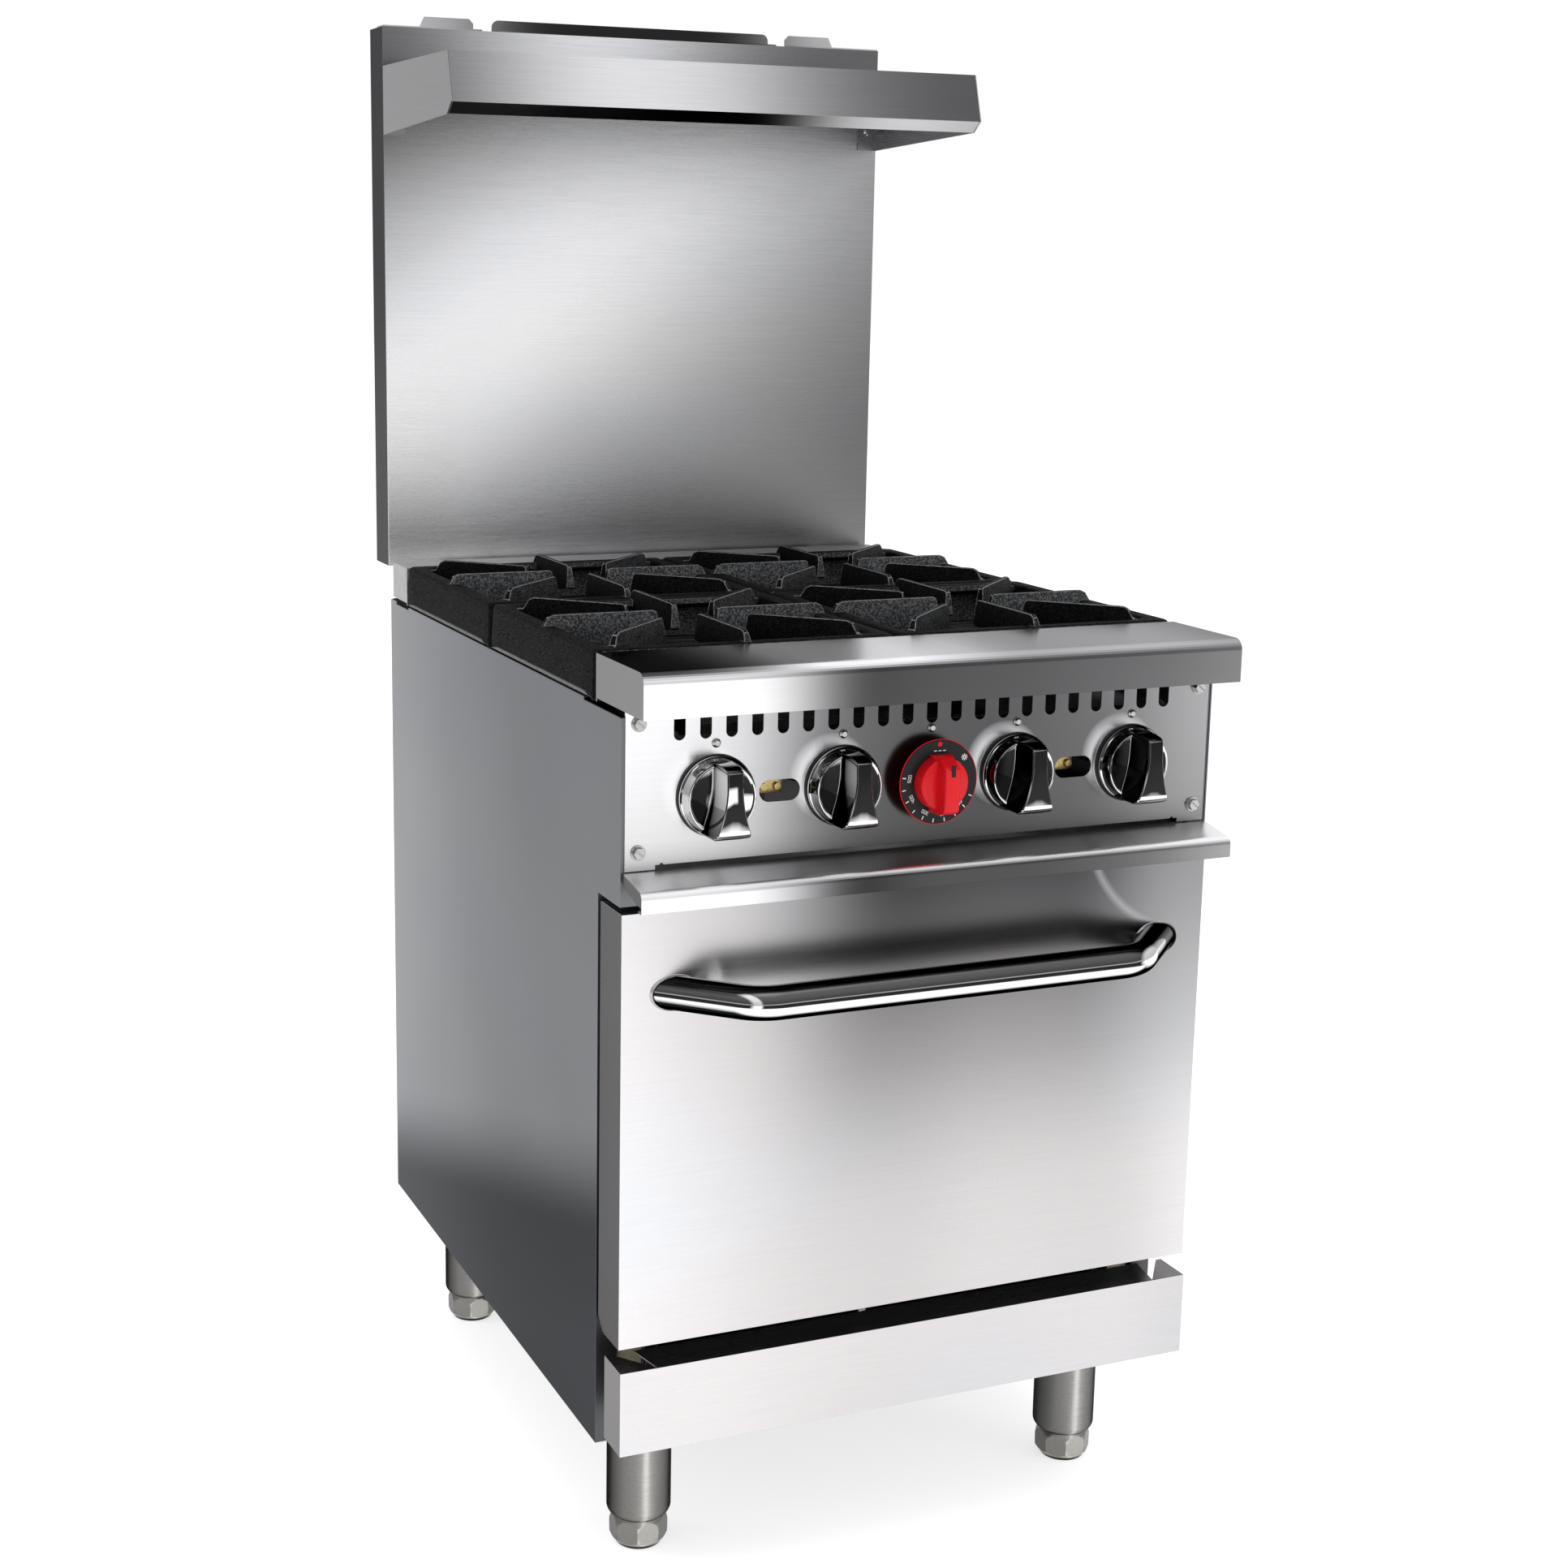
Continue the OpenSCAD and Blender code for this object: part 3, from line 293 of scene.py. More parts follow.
def rubbed_glint(name, tone, rough):
    """The narrow edges of a casting, bright from wear by pans and from a painted highlight, broken up by its
    sandy skin.
    """
    t = Tree(name, metallic=0.3)
    sand = t.noise((400.0, 400.0, 400.0), detail=2.0)
    t.set("Base Color", t.mix(t.range(sand, 0.38, 0.55, 0.0, 1.0), grey(tone * 0.25), grey(tone)))
    t.set("Roughness", t.range(sand, 0.3, 0.7, rough * 0.9, rough * 1.2))
    t.bump(sand, 0.2, 0.0004)
    return t.material


def plain_metal(name, color, rough, metallic=1.0, shade=None, rim=None):
    """Turned or drawn metal with a faint mottle; rim darkens its edges."""
    t = Tree(name, metallic=metallic)
    mottle = t.noise((300.0, 300.0, 300.0), detail=3.0)
    metal = t.mix(mottle, darker(color, 0.82), color)
    # shade paints shading into the colour.
    if shade:
        metal = t.scaled_color(metal, shade(t))
    if rim:
        metal = t.scaled_color(metal, t.mix(t.edges(0.0008, 0.70, 0.97), grey(1.0), grey(rim)))
    t.set("Base Color", metal)
    t.set("Roughness", t.range(mottle, 0.3, 0.7, rough * 0.8, rough * 1.25))
    t.bump(mottle, 0.08, 0.0003)
    return t.material


def spangled(name, tone, rough):
    """Coated sheet with its pale crystal pattern."""
    t = Tree(name, metallic=1.0)
    cells = t.node("TexVoronoi", Vector=t.place((1.0, 1.0, 1.0)), Scale=90.0)
    flake = t.range(cells.outputs["Distance"], 0.0, 0.6, 0.0, 1.0)
    t.set("Base Color", t.mix(flake, grey(tone * 0.80), grey(tone * 1.15)))
    t.set("Roughness", t.range(flake, 0.0, 1.0, rough * 0.85, rough * 1.2))
    t.bump(t.noise((200.0, 200.0, 200.0)), 0.05, 0.0004)
    return t.material


def glossy(name, color, rough, coat, speckle=0.0, shine=0.3):
    """Moulded plastic or enamel, with a very fine skin and faint flow marks."""
    t = Tree(name)
    skin = t.noise((700.0, 700.0, 700.0), detail=2.0)
    flow = t.noise((40.0, 40.0, 40.0), detail=2.0)
    shade = t.mix(flow, darker(color, 0.86), color)
    if speckle:
        dots = t.range(t.noise((1500.0, 1500.0, 1500.0), detail=1.0), 0.70, 0.74, 0.0, speckle)
        shade = t.mix(dots, shade, grey(0.5))
    t.set("Base Color", shade)
    t.set("Roughness", t.range(skin, 0.3, 0.7, rough * 0.8, rough * 1.3))
    t.set("Specular IOR Level", shine)
    t.set("Coat Weight", coat)
    t.set("Coat Roughness", 0.08)
    t.bump(skin, 0.05, 0.0002)
    return t.material


def fibrous(name, color, size, strength):
    """Mineral wool or a woven cord."""
    t = Tree(name)
    fibre = t.noise((size, size * 3, size), detail=5.0, rough=0.7)
    t.set("Base Color", t.mix(fibre, darker(color, 0.6), color))
    t.set("Roughness", 0.95)
    t.bump(fibre, strength, 0.002)
    return t.material


# The painted sheen of each sheet: broad soft reflections and shade, as levels that multiply its tone.


def across(t, *levels):
    """A curve from the left edge of the range to its right edge through evenly spaced levels."""
    place = t.along(RIGHT, -HALF_WIDTH, HALF_WIDTH)
    last = len(levels) - 1
    return t.ramp(place, *((k / last, level) for k, level in enumerate(levels)))


def riser_sheen(t):
    """Painted reflections: a soft bright band that runs up to the right; above the shelf, a bright middle;
    painted shade on the left flange.
    """
    band = t.ramp(
        t.along((0.69, 0.0, -0.725), -1.25, -0.42),
        (0.0, 0.24), (0.08, 0.40), (0.20, 0.86), (0.28, 1.06), (0.34, 1.10), (0.42, 1.04),
        (0.52, 0.72), (0.64, 0.38), (0.76, 0.22), (0.87, 0.15), (1.0, 0.11))
    height = t.ramp(
        t.along(UP, 0.88, 1.44),
        (0.0, 1.95), (0.12, 1.35), (0.30, 1.05), (0.7, 1.02), (0.88, 0.70), (1.0, 0.52))
    top = across(t, 0.20, 0.38, 0.82, 1.15, 1.05, 0.60, 0.30, 0.20, 0.17)
    face = t.mix(t.along(UP, 1.44, 1.45), t.scaled_color(band, height), top)
    return t.mix(t.facing(LEFT), face, grey(0.25))


def handle_light_arc(t):
    """1 along the thin arc of painted light that the handle's right foot throws up the door."""
    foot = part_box("door_handle")[1]
    radius = 0.125
    centre = (foot.x + 0.020, foot.z + 0.115)
    off = t.math("ABSOLUTE", t.math("SUBTRACT", t.distance(centre), radius))
    left = t.range(t.along(RIGHT, 0.0, 1.0), foot.x - 0.030, foot.x - 0.012, 1.0, 0.0)
    return t.product(t.range(off, 0.0, 0.006, 1.0, 0.0), left)


def door_sheen(t):
    """Painted reflections: dark over the right half of the top, even and bright towards the bottom, with
    painted shade on the folded sides.
    """
    low = across(t, 1.14, 1.06, 0.96, 0.87, 0.83, 0.82, 0.89, 0.88, 0.85, 0.86, 1.06)
    high = across(t, 1.10, 0.88, 0.76, 0.36, 0.04, 0.06, 0.08, 0.08, 0.06, 0.34, 0.40)
    fade = t.ramp(
        t.along(UP, 0.257, 0.669),
        (0.0, 0.0), (0.25, 0.05), (0.42, 0.25), (0.58, 0.5), (0.8, 0.78), (1.0, 1.0))
    face = t.mix(fade, low, high)
    # Painted highlight: the handle's arc of light brightens the door's colour.
    face = t.mix(t.product(handle_light_arc(t), 0.30), face, grey(1.0))
    return t.mix(t.largest(t.facing(LEFT), t.facing(RIGHT)), face, grey(0.30))


def halo(t, name):
    """1 in the painted reflection, a bright disc that a chrome knob mirrors onto the panel, a little to its
    upper left.
    """
    lo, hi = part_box(name)
    centre = ((lo.x + hi.x) / 2 - 0.013, (lo.z + hi.z) / 2 + 0.009)
    return t.range(t.distance(centre), 0.030, 0.041, 1.0, 0.0)


def panel_sheen(t):
    """Painted reflections: bright at both ends and darker round the middle knob, with the chrome knobs'
    mirrored light painted on.
    """
    face = across(t, 1.32, 1.22, 0.98, 0.30, 0.17, 0.15, 0.14, 0.19, 0.22, 0.42, 0.60)
    # Painted shade: darker towards the bottom, under the ledge.
    height = t.ramp(t.along(UP, 0.69, 0.86), (0.0, 0.36), (0.25, 0.85), (1.0, 1.05))
    face = t.scaled_color(face, height)
    # Painted reflections of the burner knobs, as bright discs on the panel.
    for name in BURNER_KNOBS:
        face = t.mix(t.product(halo(t, name), 0.6), face, grey(1.3))
    return face


def ledge_sheen(t):
    """Painted reflections: a white left end in front, and a dark middle; painted shade on the left end."""
    edge = across(t, 1.5, 1.5, 1.25, 0.0, 0.09, 0.12, 0.11, 0.13, 0.18, 0.30, 0.55)
    top = across(t, 1.4, 1.7, 1.3, 1.2, 1.3, 1.3, 1.3, 1.3, 1.4, 1.5, 1.5)
    face = t.mix(t.facing(UP), edge, top)
    return t.mix(t.facing(LEFT), face, grey(0.30))


def rail_sheen(t):
    """Painted reflections: a white left end and a dark right half in front; a dark left end and a bright
    middle on top; painted shade on the left end.
    """
    front = across(t, 1.5, 1.5, 1.38, 0.08, 0.11, 0.13, 0.14, 0.17, 0.20, 0.24, 0.33)
    top = across(t, 0.13, 0.12, 0.50, 2.0, 1.8, 1.15, 0.70, 0.75, 0.80, 0.80, 0.60)
    face = t.mix(t.facing(UP), front, top)
    return t.mix(t.facing(LEFT), face, grey(0.46))


def kick_sheen(t):
    """Painted reflections, mostly even, brighter at the left end; painted shade darkens the folded ends and
    the top flange.
    """
    front = across(t, 1.12, 1.13, 1.08, 1.02, 0.97, 0.96, 0.96, 0.97, 0.98, 0.99, 0.90)
    return t.mix(t.facing(FRONT), grey(0.50), front)


def side_sheen(t):
    """Painted reflections: paler to the rear, and dark low down, where the sheet mirrors the floor."""
    rear = t.ramp(t.along(REAR, -0.36, 0.38), (0.0, 0.68), (0.5, 0.66), (1.0, 0.92))
    low = t.ramp(
        t.along((0, 0.28, 1), 0.14, 0.37),
        (0.0, 0.56), (0.5, 0.50), (0.62, 0.54), (0.76, 0.76), (0.90, 0.95), (1.0, 1.0))
    return t.scaled_color(rear, low)


def shelf_sheen(t):
    """Painted reflections bright left of the middle in front; painted shade, nearly black, under the front's
    turned-in lip.
    """
    front = across(t, 0.32, 0.86, 1.34, 1.36, 1.12, 0.62, 0.34, 0.22, 0.18)
    under = across(t, 0.20, 0.14, 0.06, 0.02, 0.02, 0.05, 0.7, 0.85, 0.6)
    return t.mix(t.facing(DOWN), front, under)


def cap_sheen(t):
    """Painted reflections: the middle cap mirrors the dark ceiling; the end caps stay pale."""
    return across(t, 1.1, 1.1, 0.06, 0.05, 0.05, 0.05, 0.06, 1.1, 1.1)


def studio_dark(t):
    """A painted reflection of what bright metal mirrors: a dark room in front, a white floor and soft lamps
    to the sides, with painted highlights along the edges.
    """
    ray = t.reflection()
    room = t.ramp(
        t.range(ray["Z"], -1.0, 1.0, 0.0, 1.0),
        (0.0, 0.85), (0.26, 1.1), (0.31, 0.9), (0.335, 0.03), (0.49, 0.015), (0.515, 0.6),
        (0.545, 0.7), (0.57, 0.10), (0.90, 0.14), (1.0, 0.40), kind="LINEAR")
    forward = t.range(ray["Y"], -0.30, -0.05, 1.0, 0.0)
    left = t.product(forward, t.band(ray["X"], -0.62, -0.50, -0.34, -0.26))
    right = t.range(ray["X"], 0.82, 0.92, 0.0, 1.0)
    near = t.range(ray["Y"], -0.10, 0.05, 0.0, 0.02)
    skim = t.range(ray["Y"], 0.80, 0.88, 0.0, 1.0)
    return t.largest(t.product(room, forward), left, right, t.edges(0.0007, 0.75, 0.97), near, skim)


def knob_dark(t):
    """A painted reflection: the same room and the bright panel behind, with a painted lamp highlight on the
    first grip's front alone.
    """
    ray = t.reflection()
    lamp = t.product(t.band(ray["X"], 0.10, 0.14, 0.40, 0.44), t.band(ray["Z"], -0.24, -0.22, -0.16, -0.14))
    first = t.math("SUBTRACT", 1.0, t.along(RIGHT, -0.16, -0.15))
    panel = t.product(t.band(ray["Y"], 0.05, 0.25, 0.56, 0.66), 0.80)
    return t.largest(studio_dark(t), t.product(lamp, first), panel)


def tube_sheen(t):
    """Painted shading of round steel in a white room: dark towards both edges, with a painted highlight left
    of the middle.
    """
    side = t.node("SeparateXYZ", Vector=t.node("NewGeometry").outputs["Normal"]).outputs["X"]
    return t.ramp(
        t.range(side, -1.0, 1.0, 0.0, 1.0),
        (0.0, 0.10), (0.12, 0.30), (0.26, 0.36), (0.37, 0.50), (0.43, 1.30), (0.48, 0.60),
        (0.60, 0.36), (0.78, 0.30), (1.0, 0.06))


def foot_sheen(t):
    """The tube's painted shading on the foot's flats, with a black pad against the floor."""
    return t.mix(t.along(UP, 0.0035, 0.0042), grey(0.03), tube_sheen(t))


def rgb(red, green, blue):
    return (red, green, blue, 1.0)


# Each finish: its maker, the maker's values and its options.
FINISHES = {
    "satin_steel": (brushed, (0.27, 0.36), dict(
        grain="Y", aniso=0.3, contrast=0.03, shade=side_sheen, tints=BLUISH, rim=1.6)),
    "end_steel": (brushed, (0.36, 0.28), dict(grain="Y", aniso=0.3, contrast=0.03)),
    "shelf_steel": (brushed, (0.62, 0.25), dict(contrast=0.05, shade=shelf_sheen)),
    "brushed": (brushed, (0.62, 0.25), {}),
    "cap_steel": (brushed, (0.62, 0.18), dict(shade=cap_sheen)),
    "riser_steel": (brushed, (0.90, 0.27), dict(contrast=0.06, shade=riser_sheen)),
    "door_steel": (brushed, (0.66, 0.25), dict(contrast=0.03, shade=door_sheen, tints=ROSY)),
    "panel_steel": (brushed, (0.64, 0.22), dict(contrast=0.03, shade=panel_sheen)),
    "rail_steel": (brushed, (0.64, 0.20), dict(contrast=0.03, shade=rail_sheen)),
    "ledge_steel": (brushed, (0.66, 0.32), dict(aniso=0.2, contrast=0.03, shade=ledge_sheen)),
    "kick_steel": (brushed, (0.62, 0.25), dict(contrast=0.03, shade=kick_sheen, tints=ROSY)),
    "galvanised": (spangled, (0.40, 0.42), {}),
    "frame_steel": (plain_metal, (rgb(0.10, 0.10, 0.105), 0.50), dict(metallic=0.6)),
    "leg_steel": (brushed, (0.56, 0.34), dict(aniso=0.2, contrast=0.12, shade=tube_sheen, tints=WARM)),
    "foot_cast": (plain_metal, (rgb(0.80, 0.78, 0.72), 0.30), dict(shade=foot_sheen)),
    "bright_metal": (plain_metal, (rgb(0.50, 0.50, 0.49), 0.22), dict(rim=0.12)),
    "polished": (polished, (0.85, 0.05), dict(shade=studio_dark)),
    "knob_chrome": (polished, (0.85, 0.04), dict(shade=knob_dark)),
    "black_paint": (glossy, (rgb(0.010, 0.010, 0.010), 0.40), dict(coat=0.05, shine=0.2)),
    "enamel": (glossy, (rgb(0.018, 0.024, 0.036), 0.22), dict(coat=0.6, speckle=0.35)),
    "insulation": (fibrous, (rgb(0.66, 0.60, 0.42), 220.0, 0.6), {}),
    "gasket": (fibrous, (rgb(0.04, 0.04, 0.042), 500.0, 0.8), {}),
    "cast_iron": (cast, (0.0034, 0.55), dict(grain=0.5, wear_and_glint=0.20)),
    "cast_edge": (rubbed_glint, (0.17, 0.42), {}),
    "brass": (plain_metal, (rgb(0.52, 0.40, 0.17), 0.26), {}),
    "copper": (plain_metal, (rgb(0.66, 0.33, 0.20), 0.28), {}),
    "aluminium_tube": (plain_metal, (rgb(0.66, 0.66, 0.66), 0.34), {}),
    "red_plastic": (glossy, (rgb(0.70, 0.006, 0.012), 0.30), dict(coat=0.08, shine=0.2)),
    "mark_white": (glossy, (rgb(0.85, 0.85, 0.83), 0.45), dict(coat=0.0)),
    "dial_black": (glossy, (rgb(0.010, 0.010, 0.011), 0.34), dict(coat=0.0, shine=0.22)),
}
MATERIALS = {name: maker(name, *values, **options) for name, (maker, values, options) in FINISHES.items()}


# ---------------------------------------------------------------- pieces


def link(name, mesh, materials, body, replaced=()):
    """Adds a piece that rides on a body, takes the given materials and stands for CAD nodes."""
    obj = bpy.data.objects.new(name, mesh)
    bpy.context.scene.collection.objects.link(obj)
    for material in materials:
        mesh.materials.append(MATERIALS[material])
    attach(obj, body)
    if replaced:
        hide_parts(*replaced)
    return obj


def smooth_faces(mesh):
    mesh.polygons.foreach_set("use_smooth", [True] * len(mesh.polygons))


def to_mesh(name, bm, angle):
    """Turns a working mesh into a smooth one with edges sharper than angle kept crisp."""
    bmesh.ops.recalc_face_normals(bm, faces=bm.faces)
    mesh = bpy.data.meshes.new(name)
    bm.to_mesh(mesh)
    bm.free()
    smooth_faces(mesh)
    mesh.set_sharp_from_angle(angle=math.radians(angle))
    return mesh


# Sheets whose painted sheen differs from the rest of their slot.
OWN_STEEL = {
    "riser_front": "riser_steel",
    "riser_caps": "cap_steel",
    "shelf_top": "shelf_steel",
    "shelf_end_left": "end_steel",
    "shelf_end_right": "end_steel",
    "front_rail": "rail_steel",
    "control_panel": "panel_steel",
    "crumb_tray": "ledge_steel",
    "door_skin": "door_steel",
    "kick_plate": "kick_steel",
}


def dress_cad(name, obj):
    """A CAD node's finish: its material, softened edges and shading that follows the round faces."""
    mesh = obj.data
    mesh.materials.clear()
    mesh.materials.append(MATERIALS[OWN_STEEL.get(name, SLOTS[name])])
    weld = obj.modifiers.new("weld", "WELD")
    weld.merge_threshold = 0.01 * MM
    bevel = obj.modifiers.new("soft_edges", "BEVEL")
    bevel.width = 0.5 * MM
    bevel.segments = 2
    bevel.limit_method = "ANGLE"
    bevel.angle_limit = math.radians(35)
    bevel.harden_normals = False
    smooth_faces(mesh)
    normal = obj.modifiers.new("normals", "WEIGHTED_NORMAL")
    normal.keep_sharp = True


for node_name, node_object in NODES.items():
    dress_cad(node_name, node_object)


# Shapes are built in millimetres and scaled to metres, but for the handle, which is built in place.


def skin(bm, a, b):
    """Faces from one closed ring of vertices to the next; a ring of one vertex is a point."""
    count = max(len(a), len(b))
    for i in range(count):
        j = (i + 1) % count
        if len(a) == 1:
            bm.faces.new((a[0], b[j], b[i]))
        elif len(b) == 1:
            bm.faces.new((a[i], a[j], b[0]))
        else:
            bm.faces.new((a[i], a[j], b[j], b[i]))


def loft(bm, rings, caps=True):
    """Skins a list of equal closed rings, and closes the two ends."""
    made = [[bm.verts.new(p) for p in ring] for ring in rings]
    for a, b in zip(made, made[1:]):
        skin(bm, a, b)
    if caps:
        bm.faces.new(reversed(made[0]))
        bm.faces.new(made[-1])


def circle(radius, height, segments):
    """A ring of points round Z, or one point where the radius is 0."""
    if radius == 0:
        return [(0, 0, height)]
    steps = (2 * math.pi * i / segments for i in range(segments))
    return [(radius * math.cos(a), radius * math.sin(a), height) for a in steps]


def revolve(bm, profile, segments=96):
    """Turns a list of (radius, height) points round Z; a radius of 0 closes that end."""
    rings = []
    for radius, height in profile:
        rings.append([bm.verts.new(p) for p in circle(radius, height, segments)])
    for a, b in zip(rings, rings[1:]):
        skin(bm, a, b)


def to_metres(bm):
    bmesh.ops.scale(bm, vec=(MM, MM, MM), verts=bm.verts)


def move(bm, place):
    bmesh.ops.translate(bm, vec=place, verts=bm.verts)


def on_panel(bm, place):
    """Stands a piece built along +Z on the panel, facing the cook, with its own +Y up."""
    to_metres(bm)
    upright = Matrix.Rotation(math.radians(90), 3, "X")
    bmesh.ops.rotate(bm, cent=(0, 0, 0), matrix=upright, verts=bm.verts)
    move(bm, place)


def panel_place(name):
    """The point of the panel behind the middle of a node."""
    lo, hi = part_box(name)
    return ((lo.x + hi.x) / 2, PANEL_Y, (lo.z + hi.z) / 2)


# Door handle

HANDLE_TURN = math.radians(45)
HANDLE_BEND = 45 * MM
HANDLE_SIDES = 40
TUBE_SINK = 0.2 * MM
BEAD_SINK = 0.1 * MM


def handle_path(half_run):
    """Centre points and directions of the right half of the handle, in its own plane."""
    points = [((0.0, 0.0), 0.0), ((half_run * 0.5, 0.0), 0.0)]
    steps = 10
    for i in range(steps + 1):
        turn = HANDLE_TURN * i / steps
        x = half_run + HANDLE_BEND * math.sin(turn)
        points.append(((x, HANDLE_BEND * (1 - math.cos(turn))), turn))
    return points


def handle_section(centre, turn, radius):
    """A round section of the handle's tube, square to its run there."""
    x, y, z = centre
    ring = []
    for i in range(HANDLE_SIDES):
        angle = 2 * math.pi * i / HANDLE_SIDES
        out = radius * math.cos(angle)
        point = (x - out * math.sin(turn), y + out * math.cos(turn), z + radius * math.sin(angle))
        ring.append(Vector(point))
    return ring


def onto_face(ring, end, face):
    """An end section carried on to the door's face; end is -1 on the left and 1 on the right."""
    flow = Vector((end * math.sin(HANDLE_TURN), math.cos(HANDLE_TURN), 0))
    return [p + flow * ((face + TUBE_SINK - p.y) / flow.y) for p in ring]


def handle_sections(face):
    """All sections of the handle, from its left foot on the door's face to its right foot."""
    lo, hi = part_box("door_handle")
    radius = (hi.z - lo.z) / 2
    axis_y = lo.y + radius
    height = (hi.z + lo.z) / 2
    corner = hi.x - radius * math.sqrt(2) - (face - axis_y)
    right = handle_path(corner - HANDLE_BEND * math.tan(HANDLE_TURN / 2))
    left = [((-x, y), -turn) for (x, y), turn in reversed(right[1:])]
    rings = [handle_section((x, axis_y + y, height), turn, radius) for (x, y), turn in left + right]
    return [onto_face(rings[0], -1, face)] + rings + [onto_face(rings[-1], 1, face)]


def weld_bead(bm, ring, face):
    """A small fillet of weld where the handle meets the door."""
    centre = sum(ring, Vector()) / len(ring)
    rings = []
    for grow, lift in ((0.985, 2.6), (1.0, 1.5), (1.05, 0.5), (1.10, 0.0)):
        wider = [centre + (p - centre) * grow for p in ring]
        rings.append([Vector((q.x, face - lift * MM + BEAD_SINK, q.z)) for q in wider])
    loft(bm, rings, caps=False)


def make_handle():
    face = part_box("door_skin")[0].y
    rings = handle_sections(face)
    tube = bmesh.new()
    loft(tube, rings)
    mesh = to_mesh("handle_tube", tube, 50)
    link("handle_tube", mesh, ["polished"], "oven_door", ["door_handle"])
    welds = bmesh.new()
    weld_bead(welds, rings[0], face)
    weld_bead(welds, rings[-1], face)
    mesh = to_mesh("handle_welds", welds, 80)
    link("handle_welds", mesh, ["bright_metal"], "oven_door")


# Knobs: x to the right, y up the panel and z towards the cook, from the middle of the knob's back


def grip_section(y, front, root, height, base):
    """One section of a knob's grip: a curved flank, a rounded shoulder and a slightly domed crown.

    front and root are its half widths at the crown and at the foot; base is the height of the foot.
    """
    shoulder = height - 1.3
    bulge = front + 0.5 - root
    flank = []
    for s in (0.0, 0.12, 0.3, 0.5, 0.7, 0.88, 1.0):
        flank.append((root + bulge * s ** 0.75, base + 8 + (shoulder - base - 8) * s))
    round_over = [(front, height - 0.55), (front - 0.5, height - 0.12)]
    crown = [(front * f, height + 0.35 * (1 - f * f)) for f in (0.6, 0.25)]
    half = [(root, base)] + flank + round_over + crown
    return [Vector((-x, y, z)) for x, z in half] + [Vector((x, y, z)) for x, z in reversed(half)]


def eased(start, run, count):
    """Places along a run, closer together towards both ends."""
    steps = (i / (count - 1) for i in range(count))
    return [start + run * (0.5 - 0.5 * math.cos(math.pi * t)) for t in steps]


def chord(radius, y):
    """Half the width of a disc at y, and at least 1 mm."""
    return math.sqrt(max(1.0, radius ** 2 - y * y))


def rounded_off(height, floor, past, reach):
    """A height that falls to floor along a quarter ellipse as past goes from 0 to reach."""
    part = max(0.0, past) / reach
    return floor + (height - floor) * math.sqrt(max(0.0, 1 - part ** 2))


def burner_grip():
    """A grip that runs right across the skirt, and widens towards its lower end."""
    skirt = 36.2
    narrow = 7.2
    crown = 45.6
    nose = 18
    lower_end = -25
    upper_end = 28.5
    rings = []
    for y in eased(-35.0, 68.0, 45):
        limit = chord(skirt, y)
        front = narrow + 0.0046 * max(0.0, 16 - y) ** 2
        root = min(front + 2.4 + 0.02 * max(0.0, 10 - y), limit)
        front = min(front, limit - 1.0)
        height = crown - 0.0016 * (y - 4) ** 2
        height = rounded_off(height, nose, lower_end - y, 10.2)
        height = rounded_off(height, nose, y - upper_end, 4.8)
        rings.append(grip_section(y, max(front, 0.6), max(root, 1.2), max(height, 17.5), 7.0))
    return rings


def burner_knob():
    """A chrome knob: a skirt with a raised rim round a flat floor, and its grip."""
    bm = bmesh.new()
    revolve(bm, [
        (0, 3.4), (36.2, 3.4), (36.7, 3.9), (36.7, 5.6), (36.2, 6.4), (35.2, 7.2), (32.6, 15.6),
        (32.0, 16.5), (31.3, 16.8), (30.6, 16.5), (29.6, 15.6), (24.0, 15.0), (12.0, 14.6), (0, 14.6),
    ])
    loft(bm, burner_grip())
    return bm


def thermostat_grip():
    """A straight grip on the hub, rounded at its lower end and sloped at its upper end."""
    hub = 28.6
    narrow = 7.2
    crown = 44.4
    nose = 28
    lower_end = -21
    upper_end = 17
    rings = []
    for y in eased(-27.5, 53.5, 33):
        limit = chord(hub, y)
        height = rounded_off(crown - 0.002 * y * y, nose, lower_end - y, 6.6)
        slope = 1 - max(0.0, y - upper_end) / 9.5
        height = nose + (height - nose) * slope
        front = min(narrow, limit - 0.8)
        root = min(11.0 - 0.05 * abs(y), limit)
        rings.append(grip_section(y, front, root, max(height, 24.0), 16.0))
    return rings


def thermostat_knob():
    """A red knob: a skirt that opens towards the cook, a hub and its grip."""
    bm = bmesh.new()
    revolve(bm, [
        (0, 3.4), (30.0, 3.4), (30.6, 4.2), (37.2, 13.2), (39.6, 14.6), (40.0, 15.6), (39.8, 16.2),
        (39.3, 16.4), (39.2, 15.8), (25.4, 15.8), (25.2, 17.0), (24.7, 26.5), (23.9, 28.6),
        (22.2, 29.6), (12.0, 30.2), (0, 30.4),
    ])
    loft(bm, thermostat_grip())
    return bm


# The printed marks stand a little proud of the plate that they are on.
PLATE_TOP = 16.75
MARK_LOW = 16.7
MARK_HIGH = 16.95
MARK_WIDTH = 0.9


def bar(bm, centre, angle, length, width, low=MARK_LOW, high=MARK_HIGH):
    """A short raised mark on the dial, along the given direction."""
    u = Vector((math.cos(angle), math.sin(angle), 0)) * length / 2
    v = Vector((-math.sin(angle), math.cos(angle), 0)) * width / 2
    c = Vector((centre[0], centre[1], 0))
    corners = [c - u - v, c + u - v, c + u + v, c - u + v]
    loft(bm, [[p + Vector((0, 0, z)) for p in corners] for z in (low, high)])


